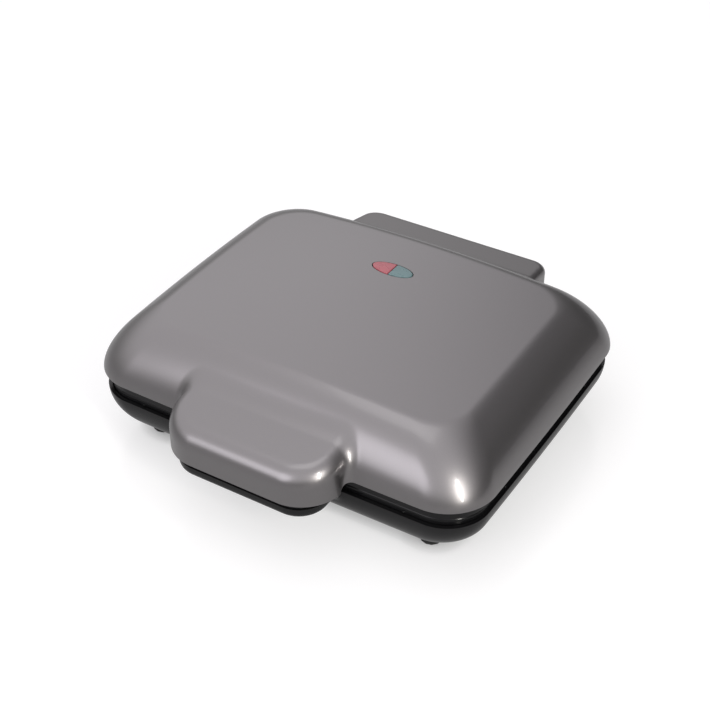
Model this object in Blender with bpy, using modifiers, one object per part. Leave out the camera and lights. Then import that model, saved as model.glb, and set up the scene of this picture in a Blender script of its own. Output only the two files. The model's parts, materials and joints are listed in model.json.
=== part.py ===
"""A clamshell waffle maker that bakes four small round waffles, modelled piece by piece.

Units are metres and +Z is up. The handles point to -Y and the hinge is at +Y. The origin is on the
table, under the middle of the whole object. The lower pieces stand still. The upper ones hang from
the empty lid_pivot, which sits on the hinge axis, so turning it about -X opens the lid.
"""

import math

import bmesh
import bpy
from mathutils import Matrix, Vector

# Body, measured on the lid's lower edge
BODY_WIDTH = 0.285
BODY_DEPTH = 0.230
BODY_CORNER_RADIUS = 0.0325
CLEARANCE = 0.0003
OVERRUN = 0.002

# Heights of the stack, from the table up
FOOT_HEIGHT = 0.0065
BASE_SHELL_HEIGHT = 0.029
BASE_BEZEL_STAND = 0.0065
LID_BEZEL_STAND = 0.0080
PARTING_GAP = 0.0006

# Lid shell
LID_WALL = 0.0025
LID_SHOULDER_RISE = 0.031
LID_SHOULDER_X = 0.0301
LID_SHOULDER_Y = 0.0323
LID_TOP_CORNER_RADIUS = 0.025
LID_CROWN_X = 0.008
LID_CROWN_Y = 0.0031
LID_CURVE_POWER = 1.222
LID_CURVE_STEPS = 6
LID_POST_RADIUS = 0.0055

# Base shell
BASE_WALL = 0.0025
BASE_INSET = 0.002
BASE_SWEEP = 0.030
BASE_FLOOR_CORNER_RADIUS = 0.020
BASE_CURVE_STEPS = 5
BASE_POST_RADIUS = 0.0065

# Steps of the rounded outlines, and the lid's inner rings as shares of its top
CORNER_STEPS = 5
SIDE_STEPS_X = 4
SIDE_STEPS_Y = 3
RING_SHARES = (0.65, 0.28)

# Lid handle and the tabs that hang beside its root
HANDLE_FRONT_WIDTH = 0.115
HANDLE_ROOT_WIDTH = 0.1225
HANDLE_REACH = 0.0325
HANDLE_LIFT = 0.002
HANDLE_FRONT_HEIGHT = 0.023
HANDLE_ROOT = 0.030
HANDLE_SLOPE = 0.16
HANDLE_CORNER_RADIUS = 0.026
HANDLE_EDGE_RADIUS = 0.0105
ROUNDING_STEPS = 4
HOLLOW_STEPS = 2
TAB_WIDTH = 0.0065
TAB_THICKNESS = 0.004
TAB_DROP = 0.0035
TAB_SETBACK = 0.003

# Covers of both handles, with the bosses that their screws pass
COVER_THICKNESS = 0.003
COVER_BOSS_RADIUS = 0.0058
COVER_BOSS_HEIGHT = 0.005
COVER_SCREW_INSET = 0.0185
COVER_SCREW_SETBACK = 0.016
COVER_SCREW_LENGTH = 0.0085

# Base handle
BASE_HANDLE_FRONT_WIDTH = 0.106
BASE_HANDLE_ROOT_WIDTH = 0.106
BASE_HANDLE_REACH = 0.0295
BASE_HANDLE_DEPTH = 0.0075
BASE_HANDLE_ROOT = 0.012
BASE_HANDLE_CORNER_RADIUS = 0.0195
BASE_HANDLE_EDGE_RADIUS = 0.0045
BASE_HANDLE_COVER_INSET = 0.0012

# Hinge cover on the lid
HINGE_COVER_REAR_WIDTH = 0.152
HINGE_COVER_ROOT_WIDTH = 0.158
HINGE_COVER_REACH = 0.025
HINGE_COVER_HEIGHT = 0.0238
HINGE_COVER_ROOT = 0.030
HINGE_COVER_SLOPE = 0.17
HINGE_COVER_CORNER_RADIUS = 0.0125
HINGE_COVER_EDGE_RADIUS = 0.005

# Hinge: axis, base ears, lid brackets and pins
HINGE_AXIS_BACK = 0.013
HINGE_AXIS_RISE = 0.004
HINGE_COVER_BELOW_AXIS = 0.002
HINGE_SPACING = 0.110
EAR_RADIUS = 0.0075
EAR_THICKNESS = 0.008
EAR_TOP_STEP = 0.002
EAR_ROOT = 0.010
EAR_KNEE = 0.0085
EAR_BURIED = 0.005
BRACKET_RADIUS = 0.006
BRACKET_THICKNESS = 0.0018
BRACKET_SIDE_PLAY = 0.0005
PIN_RADIUS = 0.002
PIN_HEAD_RADIUS = 0.0036
PIN_HEAD_THICKNESS = 0.0014
PIN_OVERHANG = 0.0012
ARC_STEPS = 7

# Bezels that hold the cooking plates
BEZEL_RIM = 0.0037
BEZEL_LEDGE = 0.0025
BEZEL_LEDGE_THICKNESS = 0.0038
BEZEL_TONGUE = 0.004
BEZEL_TONGUE_WALL = 0.002
LID_BEZEL_STEP_HEIGHT = 0.0042
LID_BEZEL_STEP = 0.0014
BASE_BEZEL_STEP_HEIGHT = 0.0012
BASE_BEZEL_STEP = 0.0006
PIP_RADIUS = 0.0009
PIP_PROUD = 0.0005
PIP_RISE = 0.0015
PIP_INSET_X = 0.045
PIP_INSET_Y = 0.0565

# Cooking plates, with their cast wells and pegs
PLATE_THICKNESS = 0.003
PLATE_EDGE_CHAMFER = 0.0008
WELL_MARGIN_X = 0.0232
WELL_MARGIN_Y = 0.0062
WELL_WEB_X = 0.027
WELL_WEB_Y = 0.006
WELL_DRAFT = 0.002
WELL_DEPTH = 0.009
WELL_WALL = 0.0025
WELL_STEPS = 24
PEG_PITCH = 0.015
PEG_HEIGHT = 0.0055
PEG_FOOT = 0.0104
PEG_TOP = 0.0080
PEG_RING = 0.0046
PEG_COUNT = 7
PEG_SINK = 0.001
STUD_RADIUS = 0.0045
STUD_PAST_WELL_X = 0.036
STUD_PAST_WELL_Y = 0.0205

# Reflector pans
PAN_THICKNESS = 0.0006
PAN_DEPTH = 0.0240
PAN_INSET_X = 0.0114
PAN_INSET_Y = 0.0114
PAN_SLOPE = 0.008
PAN_FLANGE = 0.0026
PAN_CORNER_RADIUS = 0.020

# Heating elements
HEATER_RADIUS = 0.0032
HEATER_PAST_WELL_X = 0.013
HEATER_PAST_WELL_Y = 0.0035
HEATER_CORNER_RADIUS = 0.028
HEATER_TERMINAL_X = 0.012
HEATER_TERMINAL_PAST_STUD = 0.006
BEND_STEPS = 3

# Screws
SCREW_RADIUS = 0.002
SCREW_HEAD_RADIUS = 0.0035
SCREW_HEAD_HEIGHT = 0.0022
SCREW_BITE = 0.008
SCREW_STEPS = 8
BASE_COUNTERBORE_DEPTH = 0.005
COUNTERBORE_DEPTH = 0.0026

# Feet
FOOT_TOP_RADIUS = 0.0085
FOOT_BOTTOM_RADIUS = 0.0072
FOOT_EDGE = 0.0007
FOOT_PLUG_RADIUS = 0.003
FOOT_PLUG_LENGTH = 0.0015
FOOT_PAD_RADIUS = 0.0105
FOOT_PAD_DRAFT = 0.0003
FOOT_INSET_X = 0.0385
FOOT_INSET_Y = 0.030
ROUND_STEPS = 12

# Indicator lenses, lamp holder and lamps
LENS_LENGTH = 0.0295
LENS_WIDTH = 0.0138
LENS_FROM_REAR = 0.0723
LENS_PROUD = 0.0005
LENS_EDGE = 0.0006
LENS_STEPS = 24
HOLDER_LENGTH = 0.038
HOLDER_WIDTH = 0.021
HOLDER_HEIGHT = 0.012
CHAMBER_RADIUS = 0.0048
CHAMBER_FLOOR = 0.0015
LAMP_RADIUS = 0.0025
LAMP_LENGTH = 0.0075

# Thermostats and thermal fuse
THERMOSTAT_RADIUS = 0.008
THERMOSTAT_HEIGHT = 0.006
THERMOSTAT_CAP_RADIUS = 0.0055
THERMOSTAT_CAP_HEIGHT = 0.004
FUSE_RADIUS = 0.0022
FUSE_LENGTH = 0.014
FUSE_X = 0.026

# Cord bushing, in the back of the base
BUSHING_INSET = 0.0425
BUSHING_DROP = 0.0135
BUSHING_RADIUS = 0.0052
BUSHING_BORE_RADIUS = 0.0033
BUSHING_FLANGE_RADIUS = 0.0072
BUSHING_FLANGE = 0.002
BUSHING_LENGTH = 0.0075
BUSHING_BOSS_RADIUS = 0.0086
BUSHING_BOSS_LENGTH = 0.012

# Terminal block and its leads, between the base's floor and the lower pan
TERMINAL_PAST_BUSHING = 0.040
TERMINAL_FROM_STUD = 0.022
TERMINAL_LENGTH = 0.024
TERMINAL_WIDTH = 0.012
TERMINAL_HEIGHT = 0.0065
LEAD_RADIUS = 0.0013
LEAD_BEND = 0.006
LEAD_PAST_TERMINAL = 0.008

# Worked out from the sizes above
HALF_X = BODY_WIDTH / 2
HALF_Y = BODY_DEPTH / 2
BASE_BOTTOM_Z = FOOT_HEIGHT
BASE_RIM_Z = BASE_BOTTOM_Z + BASE_SHELL_HEIGHT
PARTING_Z = BASE_RIM_Z + BASE_BEZEL_STAND
LOWER_FACE_Z = PARTING_Z - PARTING_GAP / 2
UPPER_FACE_Z = PARTING_Z + PARTING_GAP / 2
LIP_Z = PARTING_Z + LID_BEZEL_STAND
BODY_SHIFT_Y = (HANDLE_REACH - HINGE_COVER_REACH) / 2
BASE_HALF_X = HALF_X - BASE_INSET
BASE_HALF_Y = HALF_Y - BASE_INSET
AXIS_Y = HALF_Y + HINGE_AXIS_BACK
AXIS_Z = PARTING_Z + HINGE_AXIS_RISE
BASE_BEZEL_INSET = BASE_INSET + BASE_WALL + CLEARANCE
LID_BEZEL_INSET = LID_WALL + CLEARANCE
PLATE_INSET = BASE_BEZEL_INSET + BEZEL_RIM + CLEARANCE
PLATE_HALF_X = HALF_X - PLATE_INSET
PLATE_HALF_Y = HALF_Y - PLATE_INSET
WELL_ROOM_X = PLATE_HALF_X - WELL_MARGIN_X - WELL_WEB_X / 2
WELL_ROOM_Y = PLATE_HALF_Y - WELL_MARGIN_Y - WELL_WEB_Y / 2
WELL_RADIUS = min(WELL_ROOM_X, WELL_ROOM_Y) / 2
WELL_X = (WELL_WEB_X + WELL_ROOM_X) / 2
WELL_Y = (WELL_WEB_Y + WELL_ROOM_Y) / 2
STUD_X = WELL_X + STUD_PAST_WELL_X
STUD_Y = WELL_Y + STUD_PAST_WELL_Y
HEATER_HALF_X = WELL_X + HEATER_PAST_WELL_X
HEATER_HALF_Y = WELL_Y + HEATER_PAST_WELL_Y
HEATER_TERMINAL_Y = STUD_Y + HEATER_TERMINAL_PAST_STUD
LEAD_Y = HEATER_TERMINAL_Y + LEAD_PAST_TERMINAL
BEZEL_DEPTH = PLATE_THICKNESS + CLEARANCE + BEZEL_LEDGE_THICKNESS
PAN_BACK = PAN_DEPTH + PAN_THICKNESS + CLEARANCE
HANDLE_BOTTOM_Z = PARTING_Z + HANDLE_LIFT
HANDLE_FRONT_Y = -(HALF_Y + HANDLE_REACH)
HANDLE_SCREW_Y = HANDLE_FRONT_Y + COVER_SCREW_SETBACK
BASE_HANDLE_TOP_Z = LOWER_FACE_Z - COVER_THICKNESS - CLEARANCE
BASE_HANDLE_BOTTOM_Z = BASE_HANDLE_TOP_Z - BASE_HANDLE_DEPTH
BASE_HANDLE_FRONT_Y = -(HALF_Y + BASE_HANDLE_REACH)
BASE_HANDLE_SCREW_Y = BASE_HANDLE_FRONT_Y + COVER_SCREW_SETBACK
COVER_SCREW_X = BASE_HANDLE_FRONT_WIDTH / 2 - COVER_SCREW_INSET
PIP_X = HALF_X - PIP_INSET_X
PIP_Y = HALF_Y - PIP_INSET_Y
FOOT_X = HALF_X - FOOT_INSET_X
FOOT_Y = HALF_Y - FOOT_INSET_Y
LENS_Y = HALF_Y - LENS_FROM_REAR
BUSHING_X = BUSHING_INSET - HALF_X
BUSHING_Z = BASE_RIM_Z - BUSHING_DROP
TERMINAL_X = BUSHING_X + TERMINAL_PAST_BUSHING
TERMINAL_Y = STUD_Y - TERMINAL_FROM_STUD
HOLE_RADIUS = SCREW_RADIUS + CLEARANCE
SINK_RADIUS = SCREW_HEAD_RADIUS + CLEARANCE
STUD_PLACES = ((STUD_X, 0, "right"), (-STUD_X, 0, "left"), (0, -STUD_Y, "front"), (0, STUD_Y, "rear"))
SIDES = ((-1, "left"), (1, "right"))
ACROSS = Matrix.Rotation(math.pi / 2, 4, "Y")
TO_FRONT = Matrix.Rotation(math.pi / 2, 4, "X")
TO_REAR = Matrix.Rotation(-math.pi / 2, 4, "X")
UPSIDE_DOWN = Matrix.Rotation(math.pi, 4, "X")

for leftover in list(bpy.data.objects):
    bpy.data.objects.remove(leftover)

parts = bpy.data.collections.new("waffle_maker")
cutters = bpy.data.collections.new("cutters")
bpy.context.scene.collection.children.link(parts)
bpy.context.scene.collection.children.link(cutters)


def material(name, colour, roughness, metallic=0.0, alpha=1.0):
    """A Principled material."""
    made = bpy.data.materials.new(name)
    made.use_nodes = True
    shader = made.node_tree.nodes["Principled BSDF"]
    shader.inputs["Base Color"].default_value = (*colour, 1.0)
    shader.inputs["Roughness"].default_value = roughness
    shader.inputs["Metallic"].default_value = metallic
    shader.inputs["Alpha"].default_value = alpha
    made.diffuse_color = (*colour, alpha)
    return made


def empty(name, location, parent=None):
    """An empty that carries other objects."""
    made = bpy.data.objects.new(name, None)
    parts.objects.link(made)
    made.parent = parent
    made.location = location
    return made


def mesh_object(name, bm, finish=None):
    """An object from a bmesh, with its faces outwards. Without a finish it is a helper."""
    bmesh.ops.recalc_face_normals(bm, faces=bm.faces)
    mesh = bpy.data.meshes.new(name)
    bm.to_mesh(mesh)
    bm.free()
    mesh.shade_smooth()
    mesh.set_sharp_from_angle(angle=math.radians(35))
    made = bpy.data.objects.new(name, mesh)
    if finish is None:
        cutters.objects.link(made)
        made.hide_render = True
        made.display_type = "WIRE"
    else:
        parts.objects.link(made)
        mesh.materials.append(finish)
    return made


def from_curve(name, curve, matrix, finish=None):
    """A mesh object from a filled or bevelled curve, with its caps welded on."""
    drawn = bpy.data.objects.new(name, curve)
    bpy.context.scene.collection.objects.link(drawn)
    bpy.context.view_layer.update()
    graph = bpy.context.evaluated_depsgraph_get()
    mesh = bpy.data.meshes.new_from_object(drawn.evaluated_get(graph))
    bpy.data.objects.remove(drawn)
    bm = bmesh.new()
    bm.from_mesh(mesh)
    bpy.data.meshes.remove(mesh)
    bmesh.ops.remove_doubles(bm, verts=bm.verts, dist=CLEARANCE / 30)
    bm.transform(matrix)
    return mesh_object(name, bm, finish)


def boolean(target, other, operation):
    """Adds a Boolean step with another object."""
    step = target.modifiers.new(operation.lower() + "_" + other.name, "BOOLEAN")
    step.operation = operation
    step.solver = "EXACT"
    step.object = other


def rounded_outline(half_x, half_y, radius, side_x=1, side_y=1):
    """Points round a rounded rectangle, anticlockwise, its straight sides cut in equal steps."""
    inner_x, inner_y = half_x - radius, half_y - radius
    corners = ((inner_x, inner_y), (-inner_x, inner_y), (-inner_x, -inner_y), (inner_x, -inner_y))
    points = []
    for turn, (x, y) in enumerate(corners):
        for step in range(CORNER_STEPS + 1):
            angle = (turn + step / CORNER_STEPS) * math.pi / 2
            points.append(Vector((x + radius * math.cos(angle), y + radius * math.sin(angle))))
        side_steps = side_y if turn % 2 else side_x
        length = 2 * (inner_y if turn % 2 else inner_x)
        along = Vector((-math.sin(angle), math.cos(angle))) * length / side_steps
        start = points[-1]
        points += [start + along * step for step in range(1, side_steps)]
    return points


def ellipse(half_x, half_y, first=0, last=360):
    """Points on an ellipse from one angle to another, in degrees. A full turn isn't closed twice."""
    steps = round(LENS_STEPS * (last - first) / 360)
    count = steps if last - first == 360 else steps + 1
    angles = [math.radians(first + (last - first) * step / steps) for step in range(count)]
    return [Vector((half_x * math.cos(angle), half_y * math.sin(angle))) for angle in angles]


def skin(bm, rings, closed_loop=False):
    """Quads between rings of as many points each, and the rings' vertices."""
    made = [[bm.verts.new(point) for point in ring] for ring in rings]
    pairs = list(zip(made, made[1:]))
    if closed_loop:
        pairs.append((made[-1], made[0]))
    for lower, upper in pairs:
        for i, corner in enumerate(lower):
            j = (i + 1) % len(lower)
            bm.faces.new((corner, lower[j], upper[j], upper[i]))
    return made


def loft(name, rings, finish=None, closed_loop=False):
    """A skin over rings of points. The ends are capped, or joined in a closed loop."""
    bm = bmesh.new()
    made = skin(bm, rings, closed_loop)
    if not closed_loop:
        bm.faces.new(reversed(made[0]))
        bm.faces.new(made[-1])
    return mesh_object(name, bm, finish)


def prism(name, outline, low, high, finish=None):
    """An upright prism on a flat outline, from a filled and extruded 2D curve."""
    curve = bpy.data.curves.new(name, "CURVE")
    curve.dimensions = "2D"
    curve.fill_mode = "BOTH"
    curve.extrude = (high - low) / 2
    spline = curve.splines.new("POLY")
    spline.points.add(len(outline) - 1)
    for point, (x, y) in zip(spline.points, outline):
        point.co = (x, y, 0, 1)
    spline.use_cyclic_u = True
    return from_curve(name, curve, Matrix.Translation((0, 0, (high + low) / 2)), finish)


def side_plate(name, outline, x, thickness):
    """A helper plate that stands across X, drawn by its outline in Y and Z."""
    made = prism(name, outline, -thickness / 2, thickness / 2)
    made.data.transform(Matrix(((0, 0, 1, x), (1, 0, 0, 0), (0, 1, 0, 0), (0, 0, 0, 1))))
    return made


def cylinder(name, spot, low, high, radius, top_radius=None, steps=SCREW_STEPS, turn=None, finish=None):
    """A cylinder or cone along Z from low to high, turned about its spot."""
    bm = bmesh.new()
    bmesh.ops.create_cone(bm, cap_ends=True, segments=steps, radius1=radius,
                          radius2=radius if top_radius is None else top_radius,
                          depth=high - low, matrix=Matrix.Translation((0, 0, (low + high) / 2)))
    bm.transform(Matrix.Translation(spot) @ (turn or Matrix.Identity(4)))
    return mesh_object(name, bm, finish)


def block(name, low, high, finish=None):
    """A plain box between two corners."""
    low, high = Vector(low), Vector(high)
    bm = bmesh.new()
    size = Matrix.Diagonal((*(high - low), 1))
    bmesh.ops.create_cube(bm, size=1, matrix=Matrix.Translation((low + high) / 2) @ size)
    return mesh_object(name, bm, finish)


def turned(name, profile, spot, finish, turn=None, steps=SCREW_STEPS, closed=False):
    """A turned piece: its profile of radius and height runs down the outer side."""
    bm = bmesh.new()
    points = [bm.verts.new((radius, 0, height)) for radius, height in profile]
    pairs = list(zip(points, points[1:]))
    if closed:
        pairs.append((points[-1], points[0]))
    for first, second in pairs:
        bm.edges.new((first, second))
    mesh = bpy.data.meshes.new(name)
    bm.to_mesh(mesh)
    bm.free()
    mesh.materials.append(finish)
    made = bpy.data.objects.new(name, mesh)
    parts.objects.link(made)
    screw_step = made.modifiers.new("turn", "SCREW")
    screw_step.axis = "Z"
    screw_step.steps = steps
    screw_step.render_steps = steps
    screw_step.use_merge_vertices = True
    screw_step.merge_threshold = CLEARANCE / 30
    made.matrix_basis = Matrix.Translation(spot) @ (turn or Matrix.Identity(4))
    return made


def bent_path(corners, radius):
    """Points along straight runs whose corners are rounded, each as far as its runs allow."""
    corners = [Vector(corner) for corner in corners]
    path = [corners[0]]
    for before, corner, after in zip(corners, corners[1:], corners[2:]):
        room = min((before - corner).length, (after - corner).length) * 0.48
        reach = min(radius, room)
        start = corner + (before - corner).normalized() * reach
        end = corner + (after - corner).normalized() * reach
        for step in range(BEND_STEPS + 1):
            t = step / BEND_STEPS
            path.append(start * (1 - t) ** 2 + corner * 2 * t * (1 - t) + end * t ** 2)
    return [*path, corners[-1]]


def tube(name, points, radius, finish, sides=2):
    """A round bar or lead along points, from a bevelled curve with filled caps."""
    curve = bpy.data.curves.new(name, "CURVE")
    curve.dimensions = "3D"
    curve.bevel_depth = radius
    curve.bevel_resolution = sides
    curve.use_fill_caps = True
    spline = curve.splines.new("POLY")
    spline.points.add(len(points) - 1)
    for point, spot in zip(spline.points, points):
        point.co = (*spot, 1)
    return from_curve(name, curve, Matrix.Identity(4), finish)


def rounded_block(name, half_widths, outer_y, inner_y, bottom, top_outer, top_inner,
                  corner_radius, edge_radius, steps=ROUNDING_STEPS):
    """A helper block that narrows outwards in Y, with round outer corners and a round top edge.

    It is upside down where its top lies below its bottom.
    """
    outer_half, inner_half = half_widths
    bm = bmesh.new()
    bmesh.ops.create_cube(bm, size=1)
    for vert in bm.verts:
        outer = vert.co.y < 0
        top = top_outer if outer else top_inner
        vert.co = (math.copysign(outer_half if outer else inner_half, vert.co.x),
                   outer_y if outer else inner_y, top if vert.co.z > 0 else bottom)
    bmesh.ops.recalc_face_normals(bm, faces=bm.faces)
    near = abs(outer_y - inner_y) / 1000
    uprights = [edge for edge in bm.edges
                if all(abs(vert.co.y - outer_y) < near for vert in edge.verts)
                and abs(edge.verts[0].co.x - edge.verts[1].co.x) < near]
    bmesh.ops.bevel(bm, geom=uprights, offset=corner_radius, segments=CORNER_STEPS, profile=0.5,
                    affect="EDGES", clamp_overlap=True)
    middle = (bottom + (top_outer + top_inner) / 2) / 2
    up = math.copysign(1, top_outer - bottom)
    rim = [edge for edge in bm.edges
           if all((vert.co.z - middle) * up > 0 for vert in edge.verts)
           and not all(abs(vert.co.y - inner_y) < near for vert in edge.verts)]
    bmesh.ops.bevel(bm, geom=rim, offset=edge_radius, segments=steps, profile=0.5,
                    affect="EDGES", clamp_overlap=True)
    return mesh_object(name, bm)


def screw(name, spot, length, finish, turn=None):
    """A pan-head screw whose head sits on its spot, with its shank down from there."""
    profile = ((0, SCREW_HEAD_HEIGHT), (SCREW_HEAD_RADIUS * 0.6, SCREW_HEAD_HEIGHT),
               (SCREW_HEAD_RADIUS, SCREW_HEAD_HEIGHT / 2), (SCREW_HEAD_RADIUS, 0), (SCREW_RADIUS, 0),
               (SCREW_RADIUS, -length), (0, -length))
    return turned(name, profile, spot, finish, turn)


def crown(x, y):
    """Height of the lid's crowned top over its shoulder."""
    return LID_CROWN_X * (1 - (x / HALF_X) ** 2) + LID_CROWN_Y * (1 - (y / HALF_Y) ** 2)


def lid_height(x, y, inset=0.0):
    """Height of the lid's top skin, or of its inner skin, well inside the shoulders."""
    return LIP_Z + LID_SHOULDER_RISE + crown(x, y) - inset


def dome(name, inset, finish=None):
    """The lid's domed form, or the hollow in it where inset is the wall."""
    rise = LID_SHOULDER_RISE - inset

    def ring(share_in, share_up, scale=1.0):
        radius = BODY_CORNER_RADIUS + (LID_TOP_CORNER_RADIUS - BODY_CORNER_RADIUS) * share_in
        flat = rounded_outline(HALF_X - inset - LID_SHOULDER_X * share_in,
                               HALF_Y - inset - LID_SHOULDER_Y * share_in,
                               radius - inset, SIDE_STEPS_X, SIDE_STEPS_Y)
        flat = [point * scale for point in flat]
        return [(x, y, LIP_Z + (rise + crown(x, y)) * share_up) for x, y in flat]

    rings = []
    if inset:
        for z in (UPPER_FACE_Z - OVERRUN, LIP_Z + BEZEL_TONGUE + CLEARANCE):
            rings.append([(x, y, z) for x, y, _ in ring(0, 0)])
    for step in range(2 if inset else 0, LID_CURVE_STEPS + 1):
        angle = step / LID_CURVE_STEPS * math.pi / 2
        share_in = 1 - max(math.cos(angle), 0) ** LID_CURVE_POWER
        rings.append(ring(share_in, math.sin(angle) ** LID_CURVE_POWER))
    rings += [ring(1, 1, share) for share in RING_SHARES]
    return loft(name, rings, finish)


def bowl(name, inset, finish=None):
    """The base's bowl form, or the hollow in it where inset is the wall."""
    straight = BEZEL_TONGUE + CLEARANCE if inset else 0
    depth = BASE_SHELL_HEIGHT - inset - straight

    def ring(share, z):
        rim_radius = BODY_CORNER_RADIUS - BASE_INSET
        radius = rim_radius + (BASE_FLOOR_CORNER_RADIUS - rim_radius) * share
        flat = rounded_outline(BASE_HALF_X - inset - BASE_SWEEP * share,
                               BASE_HALF_Y - inset - BASE_SWEEP * share, radius - inset)
        return [(x, y, z) for x, y in flat]

    rings = []
    for step in range(BASE_CURVE_STEPS, -1, -1):
        angle = step / BASE_CURVE_STEPS * math.pi / 2
        rings.append(ring(1 - math.cos(angle), BASE_RIM_Z - straight - depth * math.sin(angle)))
    if inset:
        rings.append(ring(0, LIP_Z))
    return loft(name, rings, finish)


def hinge_arc(radius, first, last):
    """Points on an arc about the hinge axis, in Y and Z, between two angles in degrees."""
    angles = [math.radians(first + (last - first) * step / ARC_STEPS) for step in range(ARC_STEPS + 1)]
    return [(AXIS_Y + radius * math.cos(angle), AXIS_Z + radius * math.sin(angle)) for angle in angles]


def handle_half(y):
    """Half of the lid handle's width at a place between its root and its front."""
    root_y = -(HALF_Y - HANDLE_ROOT)
    share = (y - root_y) / (HANDLE_FRONT_Y - root_y)
    return (HANDLE_ROOT_WIDTH + (HANDLE_FRONT_WIDTH - HANDLE_ROOT_WIDTH) * share) / 2


def join_lid_bosses(shell, hollow):
    """Joins the handle and the hinge cover to the lid, and their hollows to the lid's hollow."""
    for name, widths, reach, height, root, slope, corner, edge, side, bottom in (
            ("handle", (HANDLE_FRONT_WIDTH, HANDLE_ROOT_WIDTH), HANDLE_REACH, HANDLE_FRONT_HEIGHT,
             HANDLE_ROOT, HANDLE_SLOPE, HANDLE_CORNER_RADIUS, HANDLE_EDGE_RADIUS, -1, HANDLE_BOTTOM_Z),
            ("hinge_cover", (HINGE_COVER_REAR_WIDTH, HINGE_COVER_ROOT_WIDTH), HINGE_COVER_REACH,
             HINGE_COVER_HEIGHT, HINGE_COVER_ROOT, HINGE_COVER_SLOPE, HINGE_COVER_CORNER_RADIUS,
             HINGE_COVER_EDGE_RADIUS, 1, AXIS_Z - HINGE_COVER_BELOW_AXIS)):
        inner_top = bottom + height + slope * (reach + root)
        for target, kind, inset, below, steps in (
                (shell, "form", 0, 0, ROUNDING_STEPS), (hollow, "hollow", LID_WALL, OVERRUN, HOLLOW_STEPS)):
            form = rounded_block(f"{name}_{kind}", [width / 2 - inset for width in widths],
                                 side * (HALF_Y + reach - inset), side * (HALF_Y - root),
                                 bottom - below, bottom + height - inset, inner_top - inset,
                                 corner - inset, edge - inset, steps)
            boolean(target, form, "UNION")


def add_tabs(shell):
    """The two small tabs that hang down beside the handle's root, each in two steps."""
    rear_y = -(HALF_Y + TAB_SETBACK)
    front_y = rear_y - TAB_THICKNESS
    outer = handle_half(rear_y) - CLEARANCE
    wall = outer - LID_WALL + CLEARANCE
    low = HANDLE_BOTTOM_Z - TAB_DROP
    for side, name in SIDES:
        steps = ((outer - TAB_WIDTH, HANDLE_BOTTOM_Z - CLEARANCE, front_y, rear_y),
                 (wall, HANDLE_BOTTOM_Z + OVERRUN, front_y + CLEARANCE, rear_y - CLEARANCE))
        for number, (inner, high, near_y, far_y) in enumerate(steps):
            reach = outer - number * CLEARANCE
            xs = sorted((side * inner, side * reach))
            tab = block(f"tab_{name}_{number}", (xs[0], near_y, low + number * CLEARANCE),
                        (xs[1], far_y, high))
            boolean(shell, tab, "UNION")


def add_brackets(shell):
    """The pairs of plates under the hinge cover that take the hinge pins."""
    roof_z = AXIS_Z - HINGE_COVER_BELOW_AXIS + HINGE_COVER_HEIGHT - LID_WALL / 2
    outline = hinge_arc(BRACKET_RADIUS, 180, 360)
    for y in (AXIS_Y + BRACKET_RADIUS, AXIS_Y - BRACKET_RADIUS):
        outline.append((y, roof_z + HINGE_COVER_SLOPE * (HALF_Y + HINGE_COVER_REACH - y)))
    away = (EAR_THICKNESS + BRACKET_THICKNESS) / 2 + BRACKET_SIDE_PLAY
    for side, name in SIDES:
        for number, offset in enumerate((-away, away)):
            bracket = side_plate(f"bracket_{name}_{number}", outline, side * HINGE_SPACING / 2 + offset,
                                 BRACKET_THICKNESS)
            boolean(shell, bracket, "UNION")
        reach = away + BRACKET_THICKNESS
        pin_way = cylinder("bracket_pin_way_" + name, (side * HINGE_SPACING / 2, AXIS_Y, AXIS_Z),
                           -reach, reach, PIN_RADIUS + CLEARANCE, turn=ACROSS)
        boolean(shell, pin_way, "DIFFERENCE")


def build_lid_shell(finish):
    """The lid with its handle and hinge cover in one moulding, hollow from below."""
    shell = dome("lid_shell", 0, finish)
    hollow = dome("lid_hollow", LID_WALL)
    join_lid_bosses(shell, hollow)
    boolean(shell, hollow, "DIFFERENCE")
    add_tabs(shell)
    add_brackets(shell)
    posts = [(x, y, UPPER_FACE_Z + PAN_BACK, lid_height(x, y, LID_WALL / 2), SCREW_BITE)
             for x, y, _ in STUD_PLACES]
    post_low = HANDLE_BOTTOM_Z + COVER_BOSS_HEIGHT + 2 * CLEARANCE
    post_high = (HANDLE_BOTTOM_Z + HANDLE_FRONT_HEIGHT + HANDLE_SLOPE * COVER_SCREW_SETBACK
                 - LID_WALL / 2)
    posts += [(side * COVER_SCREW_X, HANDLE_SCREW_Y, post_low, post_high, COVER_SCREW_LENGTH)
              for side, _ in SIDES]
    for number, (x, y, low, high, bite) in enumerate(posts):
        post = cylinder(f"lid_post_{number}", (x, y, 0), low, high, LID_POST_RADIUS)
        boolean(shell, post, "UNION")
        hole = cylinder(f"lid_post_hole_{number}", (x, y, 0), low - OVERRUN, low + bite + CLEARANCE,
                        HOLE_RADIUS)
        boolean(shell, hole, "DIFFERENCE")
    window = prism("lens_window", ellipse(LENS_LENGTH / 2 + CLEARANCE, LENS_WIDTH / 2 + CLEARANCE),
                   LIP_Z + LID_SHOULDER_RISE, lid_height(0, 0) + OVERRUN)
    window.data.transform(Matrix.Translation((0, LENS_Y, 0)))
    boolean(shell, window, "DIFFERENCE")
    return shell


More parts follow.
